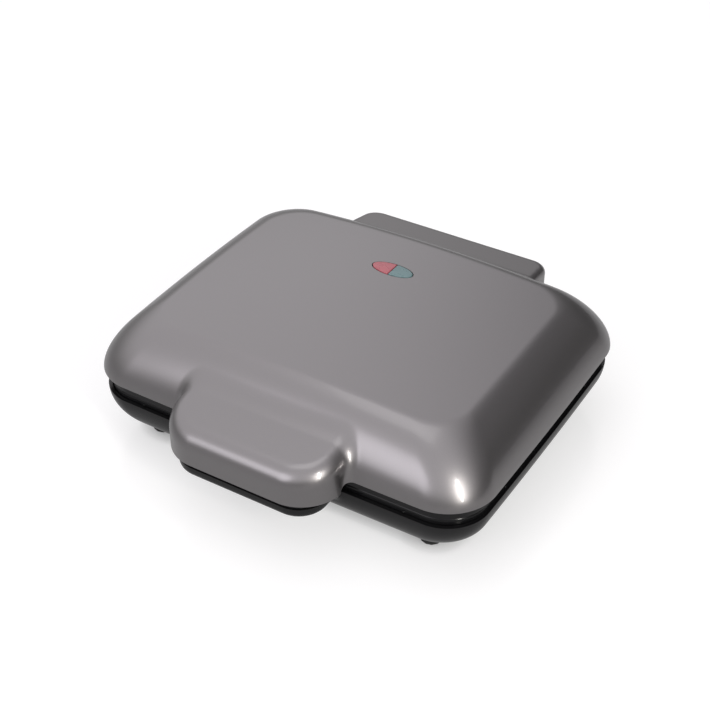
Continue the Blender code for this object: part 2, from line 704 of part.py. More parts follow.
def join_base_handle(shell):
    """Joins the hollow lower handle to the base, with two bosses for its cover's screws."""
    halves = (BASE_HANDLE_FRONT_WIDTH / 2, BASE_HANDLE_ROOT_WIDTH / 2)
    bottom = BASE_HANDLE_BOTTOM_Z
    grip = rounded_block("base_handle_form", halves, BASE_HANDLE_FRONT_Y, -(HALF_Y - BASE_HANDLE_ROOT),
                         BASE_HANDLE_TOP_Z, bottom, bottom, BASE_HANDLE_CORNER_RADIUS,
                         BASE_HANDLE_EDGE_RADIUS)
    boolean(shell, grip, "UNION")
    hollow = rounded_block("base_handle_hollow", [half - BASE_WALL for half in halves],
                           BASE_HANDLE_FRONT_Y + BASE_WALL, -(BASE_HALF_Y + CLEARANCE),
                           BASE_HANDLE_TOP_Z + OVERRUN, bottom + BASE_WALL, bottom + BASE_WALL,
                           BASE_HANDLE_CORNER_RADIUS - BASE_WALL, BASE_HANDLE_EDGE_RADIUS - BASE_WALL,
                           HOLLOW_STEPS)
    boolean(shell, hollow, "DIFFERENCE")
    for side, name in SIDES:
        spot = (side * COVER_SCREW_X, BASE_HANDLE_SCREW_Y, 0)
        boss = cylinder("base_handle_boss_" + name, spot, bottom + BASE_WALL / 2, BASE_HANDLE_TOP_Z,
                        COVER_BOSS_RADIUS)
        boolean(shell, boss, "UNION")
        bore = cylinder("base_handle_bore_" + name, spot, bottom - OVERRUN, BASE_HANDLE_TOP_Z + OVERRUN,
                        HOLE_RADIUS)
        boolean(shell, bore, "DIFFERENCE")
        sink = cylinder("base_handle_sink_" + name, spot, bottom - OVERRUN, bottom + COUNTERBORE_DEPTH,
                        SINK_RADIUS)
        boolean(shell, sink, "DIFFERENCE")


def build_base_shell(finish):
    """The bowl with its handle, hinge ears, foot pads, screw posts and the cord's boss."""
    shell = bowl("base_shell", 0, finish)
    join_base_handle(shell)
    wall_y = BASE_HALF_Y - EAR_BURIED
    ear_outline = [*hinge_arc(EAR_RADIUS, -90, 115), (wall_y, BASE_RIM_Z + EAR_TOP_STEP),
                   (wall_y, BASE_RIM_Z - EAR_ROOT), (AXIS_Y - EAR_KNEE, AXIS_Z - EAR_KNEE)]
    for side, name in SIDES:
        ear = side_plate("ear_" + name, ear_outline, side * HINGE_SPACING / 2, EAR_THICKNESS)
        boolean(shell, ear, "UNION")
    boss = cylinder("cord_boss", (BUSHING_X, BASE_HALF_Y - CLEARANCE, BUSHING_Z), 0, BUSHING_BOSS_LENGTH,
                    BUSHING_BOSS_RADIUS, turn=TO_FRONT, steps=ROUND_STEPS)
    boolean(shell, boss, "UNION")
    foot_spots = [(x, y, 0) for x in (-FOOT_X, FOOT_X) for y in (-FOOT_Y, FOOT_Y)]
    for spot in foot_spots:
        pad = cylinder("foot_pad", spot, BASE_BOTTOM_Z, BASE_BOTTOM_Z + 2 * BASE_WALL,
                       FOOT_PAD_RADIUS - FOOT_PAD_DRAFT, FOOT_PAD_RADIUS, steps=ROUND_STEPS)
        boolean(shell, pad, "UNION")
    boolean(shell, bowl("base_hollow", BASE_WALL), "DIFFERENCE")
    post_top = LOWER_FACE_Z - PAN_BACK
    for x, y, side in STUD_PLACES:
        post = cylinder("base_post_" + side, (x, y, 0), BASE_BOTTOM_Z + BASE_WALL / 2, post_top,
                        BASE_POST_RADIUS)
        boolean(shell, post, "UNION")
        bore = cylinder("base_post_bore_" + side, (x, y, 0), BASE_BOTTOM_Z - OVERRUN,
                        post_top + OVERRUN, HOLE_RADIUS)
        boolean(shell, bore, "DIFFERENCE")
        sink = cylinder("base_post_sink_" + side, (x, y, 0), BASE_BOTTOM_Z - OVERRUN,
                        BASE_BOTTOM_Z + BASE_COUNTERBORE_DEPTH, SINK_RADIUS)
        boolean(shell, sink, "DIFFERENCE")
    bore = cylinder("cord_bore", (BUSHING_X, BASE_HALF_Y + OVERRUN, BUSHING_Z), 0,
                    BUSHING_BOSS_LENGTH + 2 * OVERRUN, BUSHING_RADIUS + CLEARANCE, turn=TO_FRONT,
                    steps=ROUND_STEPS)
    boolean(shell, bore, "DIFFERENCE")
    for spot in foot_spots:
        socket = cylinder("foot_socket", spot, BASE_BOTTOM_Z - OVERRUN,
                          BASE_BOTTOM_Z + FOOT_PLUG_LENGTH + CLEARANCE, FOOT_PLUG_RADIUS + CLEARANCE)
        boolean(shell, socket, "DIFFERENCE")
    pin_way = cylinder("ear_pin_way", (0, AXIS_Y, AXIS_Z), -HINGE_SPACING, HINGE_SPACING,
                       PIN_RADIUS + CLEARANCE, turn=ACROSS)
    boolean(shell, pin_way, "DIFFERENCE")
    return shell


def build_bezel(name, inset, step, step_height, stand, pips, finish):
    """A ring round a cooking plate: its face is at height zero and it reaches to +Z.

    It stands proud of its housing, carries the plate on a ledge and has a tongue in the housing.
    Returns the bezel and its helpers.
    """
    def ring(out, z):
        flat = rounded_outline(HALF_X - out, HALF_Y - out, BODY_CORNER_RADIUS - out)
        return [(x, y, z) for x, y in flat]

    plate_room = PLATE_INSET - CLEARANCE
    ledge_end = PLATE_INSET + BEZEL_LEDGE
    ledge_z = BEZEL_DEPTH - BEZEL_LEDGE_THICKNESS
    tongue_end = stand - PARTING_GAP / 2 + BEZEL_TONGUE
    rings = [ring(inset + step, 0), ring(inset + step, step_height), ring(inset, step_height),
             ring(inset, tongue_end), ring(inset + BEZEL_TONGUE_WALL, tongue_end),
             ring(inset + BEZEL_TONGUE_WALL, BEZEL_DEPTH), ring(ledge_end, BEZEL_DEPTH),
             ring(ledge_end, ledge_z), ring(plate_room, ledge_z), ring(plate_room, 0)]
    bezel = loft(name, rings, finish, closed_loop=True)
    helpers = []
    if pips:
        spots = [(sx * PIP_X, sy * (HALF_Y - inset), TO_REAR if sy > 0 else TO_FRONT)
                 for sx in (-1, 1) for sy in (-1, 1)]
        spots += [(sx * (HALF_X - inset), sy * PIP_Y, ACROSS if sx > 0 else ACROSS.inverted())
                  for sx in (-1, 1) for sy in (-1, 1)]
        for number, (x, y, turn) in enumerate(spots):
            pip = cylinder(f"{name}_pip_{number}", (x, y, stand - PIP_RISE), -BEZEL_TONGUE_WALL / 2,
                           PIP_PROUD, PIP_RADIUS, PIP_RADIUS * 0.7, turn=turn)
            boolean(bezel, pip, "UNION")
            helpers.append(pip)
    return [bezel, *helpers]


def build_peg_grid(name, centres, floor_radius):
    """The pegs of all wells, cut to the round field inside each well. Returns them and the field."""
    pegs = bmesh.new()
    fields = bmesh.new()
    middle = (PEG_COUNT - 1) / 2
    square = Matrix.Rotation(math.pi / 4, 4, "Z")
    field_radius = floor_radius - PEG_RING
    for x, y in centres:
        bmesh.ops.create_cone(fields, cap_ends=True, segments=WELL_STEPS, radius1=field_radius,
                              radius2=field_radius, depth=PEG_HEIGHT * 3,
                              matrix=Matrix.Translation((x, y, WELL_DEPTH)))
        for row in range(PEG_COUNT):
            for column in range(PEG_COUNT):
                away = Vector((row - middle, column - middle)) * PEG_PITCH
                if away.length > field_radius - PEG_TOP / 4:
                    continue
                spot = (x + away.x, y + away.y, WELL_DEPTH - (PEG_HEIGHT - PEG_SINK) / 2)
                bmesh.ops.create_cone(pegs, cap_ends=True, segments=4, radius1=PEG_TOP / math.sqrt(2),
                                      radius2=PEG_FOOT / math.sqrt(2), depth=PEG_HEIGHT + PEG_SINK,
                                      matrix=Matrix.Translation(spot) @ square)
    grid = mesh_object(name + "_pegs", pegs)
    field = mesh_object(name + "_fields", fields)
    boolean(grid, field, "INTERSECT")
    return grid, field


def build_plate(name, screws_from_face, finish):
    """A cast cooking plate: its cooking face is at height zero and its wells sink to +Z.

    Returns the plate and its helpers.
    """
    rings = []
    for cut, z in ((PLATE_EDGE_CHAMFER, 0), (0, PLATE_EDGE_CHAMFER), (0, PLATE_THICKNESS)):
        flat = rounded_outline(PLATE_HALF_X - cut, PLATE_HALF_Y - cut,
                               BODY_CORNER_RADIUS - PLATE_INSET - cut)
        rings.append([(x, y, z) for x, y in flat])
    plate = loft(name, rings, finish)
    centres = [(x, y) for x in (-WELL_X, WELL_X) for y in (-WELL_Y, WELL_Y)]
    floor_radius = WELL_RADIUS - WELL_DRAFT
    steps = []
    for number, (x, y) in enumerate(centres):
        boss = cylinder(f"{name}_boss_{number}", (x, y, 0), PLATE_THICKNESS / 2, WELL_DEPTH + WELL_WALL,
                        WELL_RADIUS + WELL_WALL, floor_radius + WELL_WALL, steps=WELL_STEPS)
        steps.append((boss, "UNION"))
    for x, y, side in STUD_PLACES:
        stud = cylinder(f"{name}_stud_{side}", (x, y, 0), PLATE_THICKNESS / 2, PAN_DEPTH - CLEARANCE,
                        STUD_RADIUS)
        steps.append((stud, "UNION"))
        low = -OVERRUN if screws_from_face else PAN_DEPTH - SCREW_BITE - 2 * CLEARANCE
        hole = cylinder(f"{name}_hole_{side}", (x, y, 0), low, PAN_DEPTH + OVERRUN, HOLE_RADIUS)
        steps.append((hole, "DIFFERENCE"))
        if screws_from_face:
            sink = cylinder(f"{name}_sink_{side}", (x, y, 0), -OVERRUN, COUNTERBORE_DEPTH, SINK_RADIUS)
            steps.append((sink, "DIFFERENCE"))
    wider = WELL_DRAFT * OVERRUN / WELL_DEPTH
    for number, (x, y) in enumerate(centres):
        well = cylinder(f"{name}_well_{number}", (x, y, 0), -OVERRUN, WELL_DEPTH, WELL_RADIUS + wider,
                        floor_radius, steps=WELL_STEPS)
        steps.append((well, "DIFFERENCE"))
    grid, field = build_peg_grid(name, centres, floor_radius)
    steps.append((grid, "UNION"))
    for helper, operation in steps:
        boolean(plate, helper, operation)
    return [plate, field, *(helper for helper, _ in steps)]


def build_pan(name, lead_holes, finish):
    """The thin steel tray behind a heating element, with a flange under the bezel.

    Returns the pan and its helpers.
    """
    half_x, half_y = PLATE_HALF_X - PAN_INSET_X, PLATE_HALF_Y - PAN_INSET_Y
    flange_z = BEZEL_DEPTH + CLEARANCE
    rings = []
    for out, z in ((PAN_SLOPE + PAN_FLANGE, flange_z), (PAN_SLOPE, flange_z), (0, PAN_DEPTH)):
        flat = rounded_outline(half_x + out, half_y + out, PAN_CORNER_RADIUS + out)
        rings.append([(x, y, z) for x, y in flat])
    bm = bmesh.new()
    bm.faces.new(skin(bm, rings)[-1])
    pan = mesh_object(name, bm, finish)
    sheet = pan.modifiers.new("sheet", "SOLIDIFY")
    sheet.thickness = PAN_THICKNESS
    sheet.offset = 1
    holes = [(x, y, HOLE_RADIUS) for x, y, _ in STUD_PLACES]
    if lead_holes:
        holes += [(side * HEATER_TERMINAL_X, -LEAD_Y, LEAD_RADIUS + 2 * CLEARANCE) for side, _ in SIDES]
    helpers = []
    for number, (x, y, radius) in enumerate(holes):
        hole = cylinder(f"{name}_hole_{number}", (x, y, 0), PAN_DEPTH - OVERRUN, PAN_DEPTH + OVERRUN,
                        radius)
        boolean(pan, hole, "DIFFERENCE")
        helpers.append(hole)
    return [pan, *helpers]


def build_heater(name, rear, finish):
    """The sheathed element: a loop behind the wells whose two ends point to the rear."""
    z = WELL_DEPTH + WELL_WALL + CLEARANCE + HEATER_RADIUS
    half = ((HEATER_TERMINAL_X, HEATER_TERMINAL_Y), (HEATER_TERMINAL_X, HEATER_HALF_Y),
            (HEATER_HALF_X, HEATER_HALF_Y), (HEATER_HALF_X, -HEATER_HALF_Y))
    corners = [(x, y * rear, z) for x, y in half]
    corners += [(-x, y * rear, z) for x, y in reversed(half)]
    return tube(name, bent_path(corners, HEATER_CORNER_RADIUS), HEATER_RADIUS, finish)


def build_thermostat(name, finish):
    """A snap-disc thermostat whose face lies against the back of a plate."""
    low = PLATE_THICKNESS + CLEARANCE
    waist = low + THERMOSTAT_HEIGHT
    top = waist + THERMOSTAT_CAP_HEIGHT
    profile = ((0, top), (THERMOSTAT_CAP_RADIUS, top), (THERMOSTAT_CAP_RADIUS, waist),
               (THERMOSTAT_RADIUS, waist), (THERMOSTAT_RADIUS, low), (0, low))
    return turned(name, profile, (0, 0, 0), finish, steps=ROUND_STEPS)


def build_cover(name, halves, outer_y, inner_y, screw_y, low, corner, screws_show, finish):
    """A flat cover with round outer corners that closes a handle."""
    outer_half, inner_half = halves
    outline = []
    for step in range(CORNER_STEPS + 1):
        angle = math.pi / 2 * step / CORNER_STEPS
        outline.append(Vector((outer_half - corner + corner * math.sin(angle),
                               outer_y + corner - corner * math.cos(angle))))
    outline.append(Vector((inner_half, inner_y)))
    outline += [Vector((-x, y)) for x, y in reversed(outline)]
    cover = prism(name, outline, low, low + COVER_THICKNESS, finish)
    for side, side_name in SIDES:
        spot = (side * COVER_SCREW_X, screw_y, 0)
        hole_top = low + COVER_THICKNESS / 2 + CLEARANCE
        if screws_show:
            boss = cylinder(f"{name}_boss_{side_name}", spot, low + COVER_THICKNESS / 2,
                            low + COVER_BOSS_HEIGHT, COVER_BOSS_RADIUS)
            boolean(cover, boss, "UNION")
            sink = cylinder(f"{name}_sink_{side_name}", spot, low - OVERRUN, low + COUNTERBORE_DEPTH,
                            SINK_RADIUS)
            boolean(cover, sink, "DIFFERENCE")
            hole_top = low + COVER_BOSS_HEIGHT + OVERRUN
        hole = cylinder(f"{name}_hole_{side_name}", spot, low - OVERRUN, hole_top, HOLE_RADIUS)
        boolean(cover, hole, "DIFFERENCE")
    return cover


def build_covers(finish):
    """The lid handle's underside cover and the base handle's top cover."""
    trim = LID_WALL + CLEARANCE
    lid_inner_y = -(HALF_Y - LID_BEZEL_INSET + CLEARANCE)
    lid_cover = build_cover(
        "lid_handle_cover", (HANDLE_FRONT_WIDTH / 2 - trim, handle_half(lid_inner_y) - trim),
        HANDLE_FRONT_Y + trim, lid_inner_y, HANDLE_SCREW_Y, HANDLE_BOTTOM_Z + CLEARANCE,
        HANDLE_CORNER_RADIUS - trim, True, finish)
    inset = BASE_HANDLE_COVER_INSET
    base_cover = build_cover(
        "base_handle_cover", (BASE_HANDLE_FRONT_WIDTH / 2 - inset, BASE_HANDLE_ROOT_WIDTH / 2 - 2 * inset),
        BASE_HANDLE_FRONT_Y + inset, -(BASE_HALF_Y - BASE_WALL), BASE_HANDLE_SCREW_Y,
        BASE_HANDLE_TOP_Z + CLEARANCE, BASE_HANDLE_CORNER_RADIUS - inset, False, finish)
    return lid_cover, base_cover


def build_pin(name, side, finish):
    """A headed hinge pin, put in from the outer side of its brackets."""
    outer = EAR_THICKNESS / 2 + BRACKET_SIDE_PLAY + BRACKET_THICKNESS
    length = 2 * outer + PIN_OVERHANG + CLEARANCE
    tip = PIN_RADIUS / 3
    profile = ((0, PIN_HEAD_THICKNESS), (PIN_HEAD_RADIUS * 0.7, PIN_HEAD_THICKNESS),
               (PIN_HEAD_RADIUS, PIN_HEAD_THICKNESS / 2), (PIN_HEAD_RADIUS, 0), (PIN_RADIUS, 0),
               (PIN_RADIUS, tip - length), (PIN_RADIUS - tip, -length), (0, -length))
    spot = (side * (HINGE_SPACING / 2 + outer + CLEARANCE), AXIS_Y, AXIS_Z)
    return turned(name, profile, spot, finish, ACROSS if side > 0 else ACROSS.inverted())


def build_foot(name, x, y, finish):
    """A rubber foot with a plug that goes up into the base."""
    shoulder = BASE_BOTTOM_Z - CLEARANCE
    top = BASE_BOTTOM_Z + FOOT_PLUG_LENGTH
    profile = ((0, top), (FOOT_PLUG_RADIUS, top), (FOOT_PLUG_RADIUS, shoulder),
               (FOOT_TOP_RADIUS, shoulder), (FOOT_BOTTOM_RADIUS, FOOT_EDGE),
               (FOOT_BOTTOM_RADIUS - FOOT_EDGE, 0), (0, 0))
    return turned(name, profile, (x, y, 0), finish, steps=ROUND_STEPS)


def build_bushing(finish):
    """The flanged bushing in the back wall that the cord would pass."""
    profile = ((BUSHING_BORE_RADIUS, BUSHING_FLANGE), (BUSHING_FLANGE_RADIUS * 0.85, BUSHING_FLANGE),
               (BUSHING_FLANGE_RADIUS, BUSHING_FLANGE / 2), (BUSHING_FLANGE_RADIUS, 0),
               (BUSHING_RADIUS, 0), (BUSHING_RADIUS, -BUSHING_LENGTH),
               (BUSHING_BORE_RADIUS, -BUSHING_LENGTH))
    return turned("cord_bushing", profile, (BUSHING_X, BASE_HALF_Y, BUSHING_Z), finish, TO_REAR,
                  ROUND_STEPS, closed=True)


def build_wiring(block_finish, lead_finishes):
    """The terminal block on the base's floor and the two leads from it to the lower element."""
    floor = BASE_BOTTOM_Z + BASE_WALL + CLEARANCE
    low = (TERMINAL_X - TERMINAL_LENGTH / 2, TERMINAL_Y - TERMINAL_WIDTH / 2, floor)
    high = (TERMINAL_X + TERMINAL_LENGTH / 2, TERMINAL_Y + TERMINAL_WIDTH / 2, floor + TERMINAL_HEIGHT)
    made = [block("terminal_block", low, high, block_finish)]
    run_z = floor + TERMINAL_HEIGHT / 2
    heater_z = LOWER_FACE_Z - WELL_DEPTH - WELL_WALL - CLEARANCE - HEATER_RADIUS
    for (side, name), finish in zip(SIDES, lead_finishes):
        lead_x = side * HEATER_TERMINAL_X
        lead_y = TERMINAL_Y - side * TERMINAL_WIDTH / 4
        corners = ((high[0] + CLEARANCE, lead_y, run_z), (lead_x, lead_y, run_z),
                   (lead_x, LEAD_Y, run_z), (lead_x, LEAD_Y, heater_z),
                   (lead_x, HEATER_TERMINAL_Y + CLEARANCE, heater_z))
        made.append(tube("lead_" + name, bent_path(corners, LEAD_BEND), LEAD_RADIUS, finish, 1))
    return made


def build_indicator(colours, holder_finish, lamp_finish):
    """The oval window's two lenses, and the holder with a lamp under each."""
    high = lid_height(HOLDER_LENGTH / 2, LENS_Y + HOLDER_WIDTH / 2, LID_WALL) - CLEARANCE
    low = high - HOLDER_HEIGHT
    holder = block("lamp_holder", (-HOLDER_LENGTH / 2, LENS_Y - HOLDER_WIDTH / 2, low),
                   (HOLDER_LENGTH / 2, LENS_Y + HOLDER_WIDTH / 2, high), holder_finish)
    made = [holder]
    lens_top = lid_height(0, LENS_Y) + LENS_PROUD
    levels = ((0, high + CLEARANCE), (0, lens_top - LENS_EDGE), (LENS_EDGE, lens_top))
    for (side, _), (colour, finish) in zip(SIDES, colours):
        spot = (side * LENS_LENGTH / 4, LENS_Y, 0)
        chamber = cylinder("chamber_" + colour, spot, low + CHAMBER_FLOOR, high + OVERRUN,
                           CHAMBER_RADIUS, steps=ROUND_STEPS)
        boolean(holder, chamber, "DIFFERENCE")
        lamp_low = low + CHAMBER_FLOOR + CLEARANCE
        made.append(cylinder("lamp_" + colour, spot, lamp_low, lamp_low + LAMP_LENGTH, LAMP_RADIUS,
                             LAMP_RADIUS * 0.7, finish=lamp_finish))
        rings = []
        for inset, z in levels:
            half = ellipse(LENS_LENGTH / 2 - inset, LENS_WIDTH / 2 - inset, -90, 90)
            rings.append([(side * max(x, CLEARANCE / 2 + inset), y + LENS_Y, z) for x, y in half])
        made.append(loft("lens_" + colour, rings, finish))
    return made


def hang(objects, parent, matrix):
    """Parents objects and moves each by the matrix from where it was drawn."""
    for obj in objects:
        drawn = obj.matrix_basis.copy()
        obj.parent = parent
        obj.matrix_basis = matrix @ drawn


def main():
    graphite = material("graphite_paint", (0.27, 0.26, 0.27), 0.32, 0.85)
    dark_shell = material("dark_shell", (0.045, 0.045, 0.048), 0.42)
    gloss_black = material("gloss_black", (0.008, 0.008, 0.009), 0.12)
    cast = material("nonstick_casting", (0.03, 0.03, 0.032), 0.45, 0.3)
    sheath = material("heater_sheath", (0.18, 0.17, 0.16), 0.4, 0.9)
    pan_steel = material("pan_steel", (0.75, 0.75, 0.76), 0.25, 1.0)
    steel = material("screw_steel", (0.62, 0.62, 0.64), 0.3, 1.0)
    rubber = material("foot_rubber", (0.03, 0.03, 0.03), 0.8)
    white = material("holder_white", (0.8, 0.79, 0.76), 0.5)
    red = material("red_lens", (0.62, 0.11, 0.14), 0.12, 0.0, 0.9)
    green = material("green_lens", (0.16, 0.34, 0.33), 0.12, 0.0, 0.9)
    glass = material("lamp_glass", (0.85, 0.83, 0.8), 0.05, 0.0, 0.6)
    lead_red = material("lead_red", (0.45, 0.05, 0.04), 0.5)
    lead_white = material("lead_white", (0.75, 0.74, 0.7), 0.5)

    body = empty("body", (0, BODY_SHIFT_Y, 0))
    pivot = empty("lid_pivot", (0, AXIS_Y, AXIS_Z), body)
    from_pivot = Matrix.Translation((0, -AXIS_Y, -AXIS_Z))

    still = [build_base_shell(dark_shell)]
    moving = [build_lid_shell(graphite)]
    lower = build_bezel("base_bezel", BASE_BEZEL_INSET, BASE_BEZEL_STEP, BASE_BEZEL_STEP_HEIGHT,
                        BASE_BEZEL_STAND, True, gloss_black)
    upper = build_bezel("lid_bezel", LID_BEZEL_INSET, LID_BEZEL_STEP, LID_BEZEL_STEP_HEIGHT,
                        LID_BEZEL_STAND, False, gloss_black)
    for name, stack, on_lid in (("lower", lower, False), ("upper", upper, True)):
        stack += build_plate(name + "_cooking_plate", on_lid, cast)
        stack += build_pan(name + "_reflector", not on_lid, pan_steel)
        stack.append(build_heater(name + "_heating_element", 1 if on_lid else -1, sheath))
        stack.append(build_thermostat(name + "_thermostat", steel))
    fuse_z = PLATE_THICKNESS + CLEARANCE + FUSE_RADIUS
    lower.append(cylinder("thermal_fuse", (FUSE_X, FUSE_LENGTH / 2, fuse_z), 0, FUSE_LENGTH, FUSE_RADIUS,
                          turn=TO_FRONT, finish=white))

    base_seat = BASE_BOTTOM_Z + BASE_COUNTERBORE_DEPTH - CLEARANCE
    base_length = LOWER_FACE_Z - PAN_DEPTH + SCREW_BITE - base_seat
    lid_seat = UPPER_FACE_Z + COUNTERBORE_DEPTH - CLEARANCE
    lid_length = UPPER_FACE_Z + PAN_BACK + SCREW_BITE - lid_seat
    for x, y, side in STUD_PLACES:
        still.append(screw("base_screw_" + side, (x, y, base_seat), base_length, steel, UPSIDE_DOWN))
        moving.append(screw("lid_screw_" + side, (x, y, lid_seat), lid_length, steel, UPSIDE_DOWN))

    lid_cover, base_cover = build_covers(gloss_black)
    moving.append(lid_cover)
    still.append(base_cover)
    lid_cover_seat = HANDLE_BOTTOM_Z + COUNTERBORE_DEPTH
    base_cover_seat = BASE_HANDLE_BOTTOM_Z + COUNTERBORE_DEPTH - CLEARANCE
    base_cover_length = BASE_HANDLE_TOP_Z + COVER_THICKNESS / 2 - base_cover_seat
    for side, name in SIDES:
        moving.append(screw("lid_handle_screw_" + name, (side * COVER_SCREW_X, HANDLE_SCREW_Y,
                                                         lid_cover_seat), COVER_SCREW_LENGTH, steel,
                            UPSIDE_DOWN))
        still.append(screw("base_handle_screw_" + name, (side * COVER_SCREW_X, BASE_HANDLE_SCREW_Y,
                                                         base_cover_seat), base_cover_length, steel,
                           UPSIDE_DOWN))
        still.append(build_pin("hinge_pin_" + name, side, steel))
        still.append(build_foot("foot_front_" + name, side * FOOT_X, -FOOT_Y, rubber))
        still.append(build_foot("foot_rear_" + name, side * FOOT_X, FOOT_Y, rubber))

    still.append(build_bushing(rubber))
    still += build_wiring(white, (lead_red, lead_white))
    moving += build_indicator((("red", red), ("green", green)), white, glass)

    hang(still, body, Matrix.Identity(4))
    hang(lower, body, Matrix.Translation((0, 0, LOWER_FACE_Z)) @ UPSIDE_DOWN)
    hang(moving, pivot, from_pivot)
    hang(upper, pivot, from_pivot @ Matrix.Translation((0, 0, UPPER_FACE_Z)))
    for helper in cutters.objects:
        if helper.parent is None:
            helper.parent = body


main()
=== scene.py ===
"""The looks of a clamshell waffle maker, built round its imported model.

Units are metres and +Z is up. The handles point to -Y and the hinge is at +Y. Sizes that the part's
source holds too are named again here. Places in Y are measured from the middle of the body, which lies
BODY_Y behind the frame's origin, and each piece is moved there when it is made.
"""

import json
import math

import bmesh
import bpy
import numpy as np
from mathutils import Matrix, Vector

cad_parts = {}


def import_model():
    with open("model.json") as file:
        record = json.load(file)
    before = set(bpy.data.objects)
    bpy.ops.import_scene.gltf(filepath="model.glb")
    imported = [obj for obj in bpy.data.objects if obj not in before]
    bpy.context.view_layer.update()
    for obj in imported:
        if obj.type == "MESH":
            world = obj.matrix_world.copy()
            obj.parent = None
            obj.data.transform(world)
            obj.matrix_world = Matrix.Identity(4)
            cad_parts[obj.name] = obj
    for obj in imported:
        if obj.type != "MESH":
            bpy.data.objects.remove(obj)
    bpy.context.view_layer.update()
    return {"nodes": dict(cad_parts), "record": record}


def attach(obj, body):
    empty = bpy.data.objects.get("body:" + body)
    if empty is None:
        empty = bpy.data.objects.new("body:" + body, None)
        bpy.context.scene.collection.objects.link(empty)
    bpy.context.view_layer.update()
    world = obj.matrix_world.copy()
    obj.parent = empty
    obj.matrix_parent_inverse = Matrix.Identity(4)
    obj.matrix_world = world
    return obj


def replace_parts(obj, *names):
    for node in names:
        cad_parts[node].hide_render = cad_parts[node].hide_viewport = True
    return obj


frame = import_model()
nodes = frame["nodes"]

MM = 0.001
SHARP_ANGLE = math.radians(40)
NODE_SHARP_ANGLE = math.radians(32)

# Light. A side is a direction seen from the object.
WORLD_TOP = 0.95
WORLD_HORIZON = 0.28
CLIMB_RANGE = (0.05, 0.52)
DARK_SHARE = 0.15
DARK_SIDE = (0.60, 0.76, 0.14)
DARK_RANGE = (0.30, 0.84)
PANEL_SIDE = (-0.27, -0.86, 0.45)
PANEL_RANGE = (0.925, 0.985)
PANEL_LEVEL = 1.65
PANEL_COLOUR = (0.97, 0.94, 1.0, 1)
HORIZON_COLOUR = (1.0, 0.995, 0.97, 1)
ZENITH_COLOUR = (0.995, 0.970, 1.0, 1)
TOP_PLACE = (-0.12, -0.02, 1.25)
TOP_AIM = (0, 0, 0.05)
TOP_SIZE = (0.62, 0.62)
TOP_POWER = 0.75
SPARK_PLACE = (1.00, -0.58, 0.56)
SPARK_AIM = (0.11, -0.10, 0.06)
SPARK_SIZE = (0.06, 0.66)
SPARK_POWER = 5.6
SPARK_COLOUR = (1.0, 0.98, 0.92)

# Floor. What shows in gloss is dimmer than what the camera sees, and fades with distance.
FLOOR_SIZE = 6
FLOOR_PLAIN = 0.86
FLOOR_GLOW = 0.56
FLOOR_DIFFUSE = 0.50
FLOOR_GLOSS = 0.05
FLOOR_ROUGHNESS = 0.20
CONTACT_REACH = 12 * MM
CONTACT_RANGE = (0.1, 0.8)
CONTACT_SHARE = 0.2
MIRRORED_DIFFUSE = 0.26
MIRRORED_NEAR = (0.25, 0.19)
MIRRORED_FAR = (0.80, 0.08)

# Camera
CAMERA_PLACE = Vector((0.3990, -0.65435, 0.6188))
CAMERA_AIM = Vector((0.0065, -0.01275, 0.0600))
CAMERA_LENS = 72.26

# Outlines in plan: half width, half depth, corner radius, and how far the sides bow out in the middle
LID_OUTLINE = (144.2 * MM, 115.2 * MM, 32.5 * MM, 1.2 * MM)
LID_TOP_OUTLINE = (112.4 * MM, 82.6 * MM, 25 * MM, 1.2 * MM)
BASE_OUTLINE = (141.6 * MM, 113.3 * MM, 29 * MM, 1.2 * MM)
BASE_FLOOR_OUTLINE = (110.5 * MM, 83 * MM, 20 * MM, 0.6 * MM)
PLATE_OUTLINE = (142.5 * MM, 115 * MM, 32.5 * MM, 0)
BODY_Y = 3.75 * MM

# The lid's dome
HALF_X, HALF_Y = LID_OUTLINE[:2]
LIP_Z = 50.5 * MM
DOME_RISE = 30.5 * MM
DOME_POWER = 1.6366
CROWN_X = 8 * MM
CROWN_Y = 3.1 * MM
LID_WALL = 2.3 * MM
CELL = 1.4 * MM

# Front handle, moulded with the dome
HANDLE_FRONT_Y = -148.0 * MM
HANDLE_FRONT_HALF = 59.3 * MM
HANDLE_ROOT_HALF = 62.6 * MM
HANDLE_FRONT_TOP = 67 * MM
HANDLE_SLOPE = 0.16
HANDLE_CORNER = 27 * MM
HANDLE_EDGE = 11 * MM
HANDLE_FILLET = 6.0 * MM
HANDLE_ROOT_Y = -85 * MM

# Hinge cover, moulded with the dome
COVER_REAR_Y = 139.9 * MM
COVER_REAR_HALF = 73.6 * MM
COVER_ROOT_HALF = 77 * MM
COVER_TOP = 67.9 * MM
COVER_SLOPE = 0.17
COVER_CORNER = 12.4 * MM
COVER_EDGE = 5 * MM
COVER_FILLET = 4.0 * MM
COVER_ROOT_Y = 85 * MM
SKIRT_BOTTOM = 44 * MM
SKIRT_RINGS = 4

# Hinge brackets and tabs under the lid
AXIS_Y = 128 * MM
AXIS_Z = 46 * MM
PIN_HOLE = 2.3 * MM
EAR_X = 55 * MM
BRACKET_OFFSET = 5.4 * MM
BRACKET_THICK = 1.8 * MM
BRACKET_RADIUS = 6 * MM
TAB_X = (52.47 * MM, 58.97 * MM)
TAB_Y = (-122 * MM, -118 * MM)
TAB_Z = (40.5 * MM, 44.4 * MM)
LID_FITTING_EDGE = 0.3 * MM

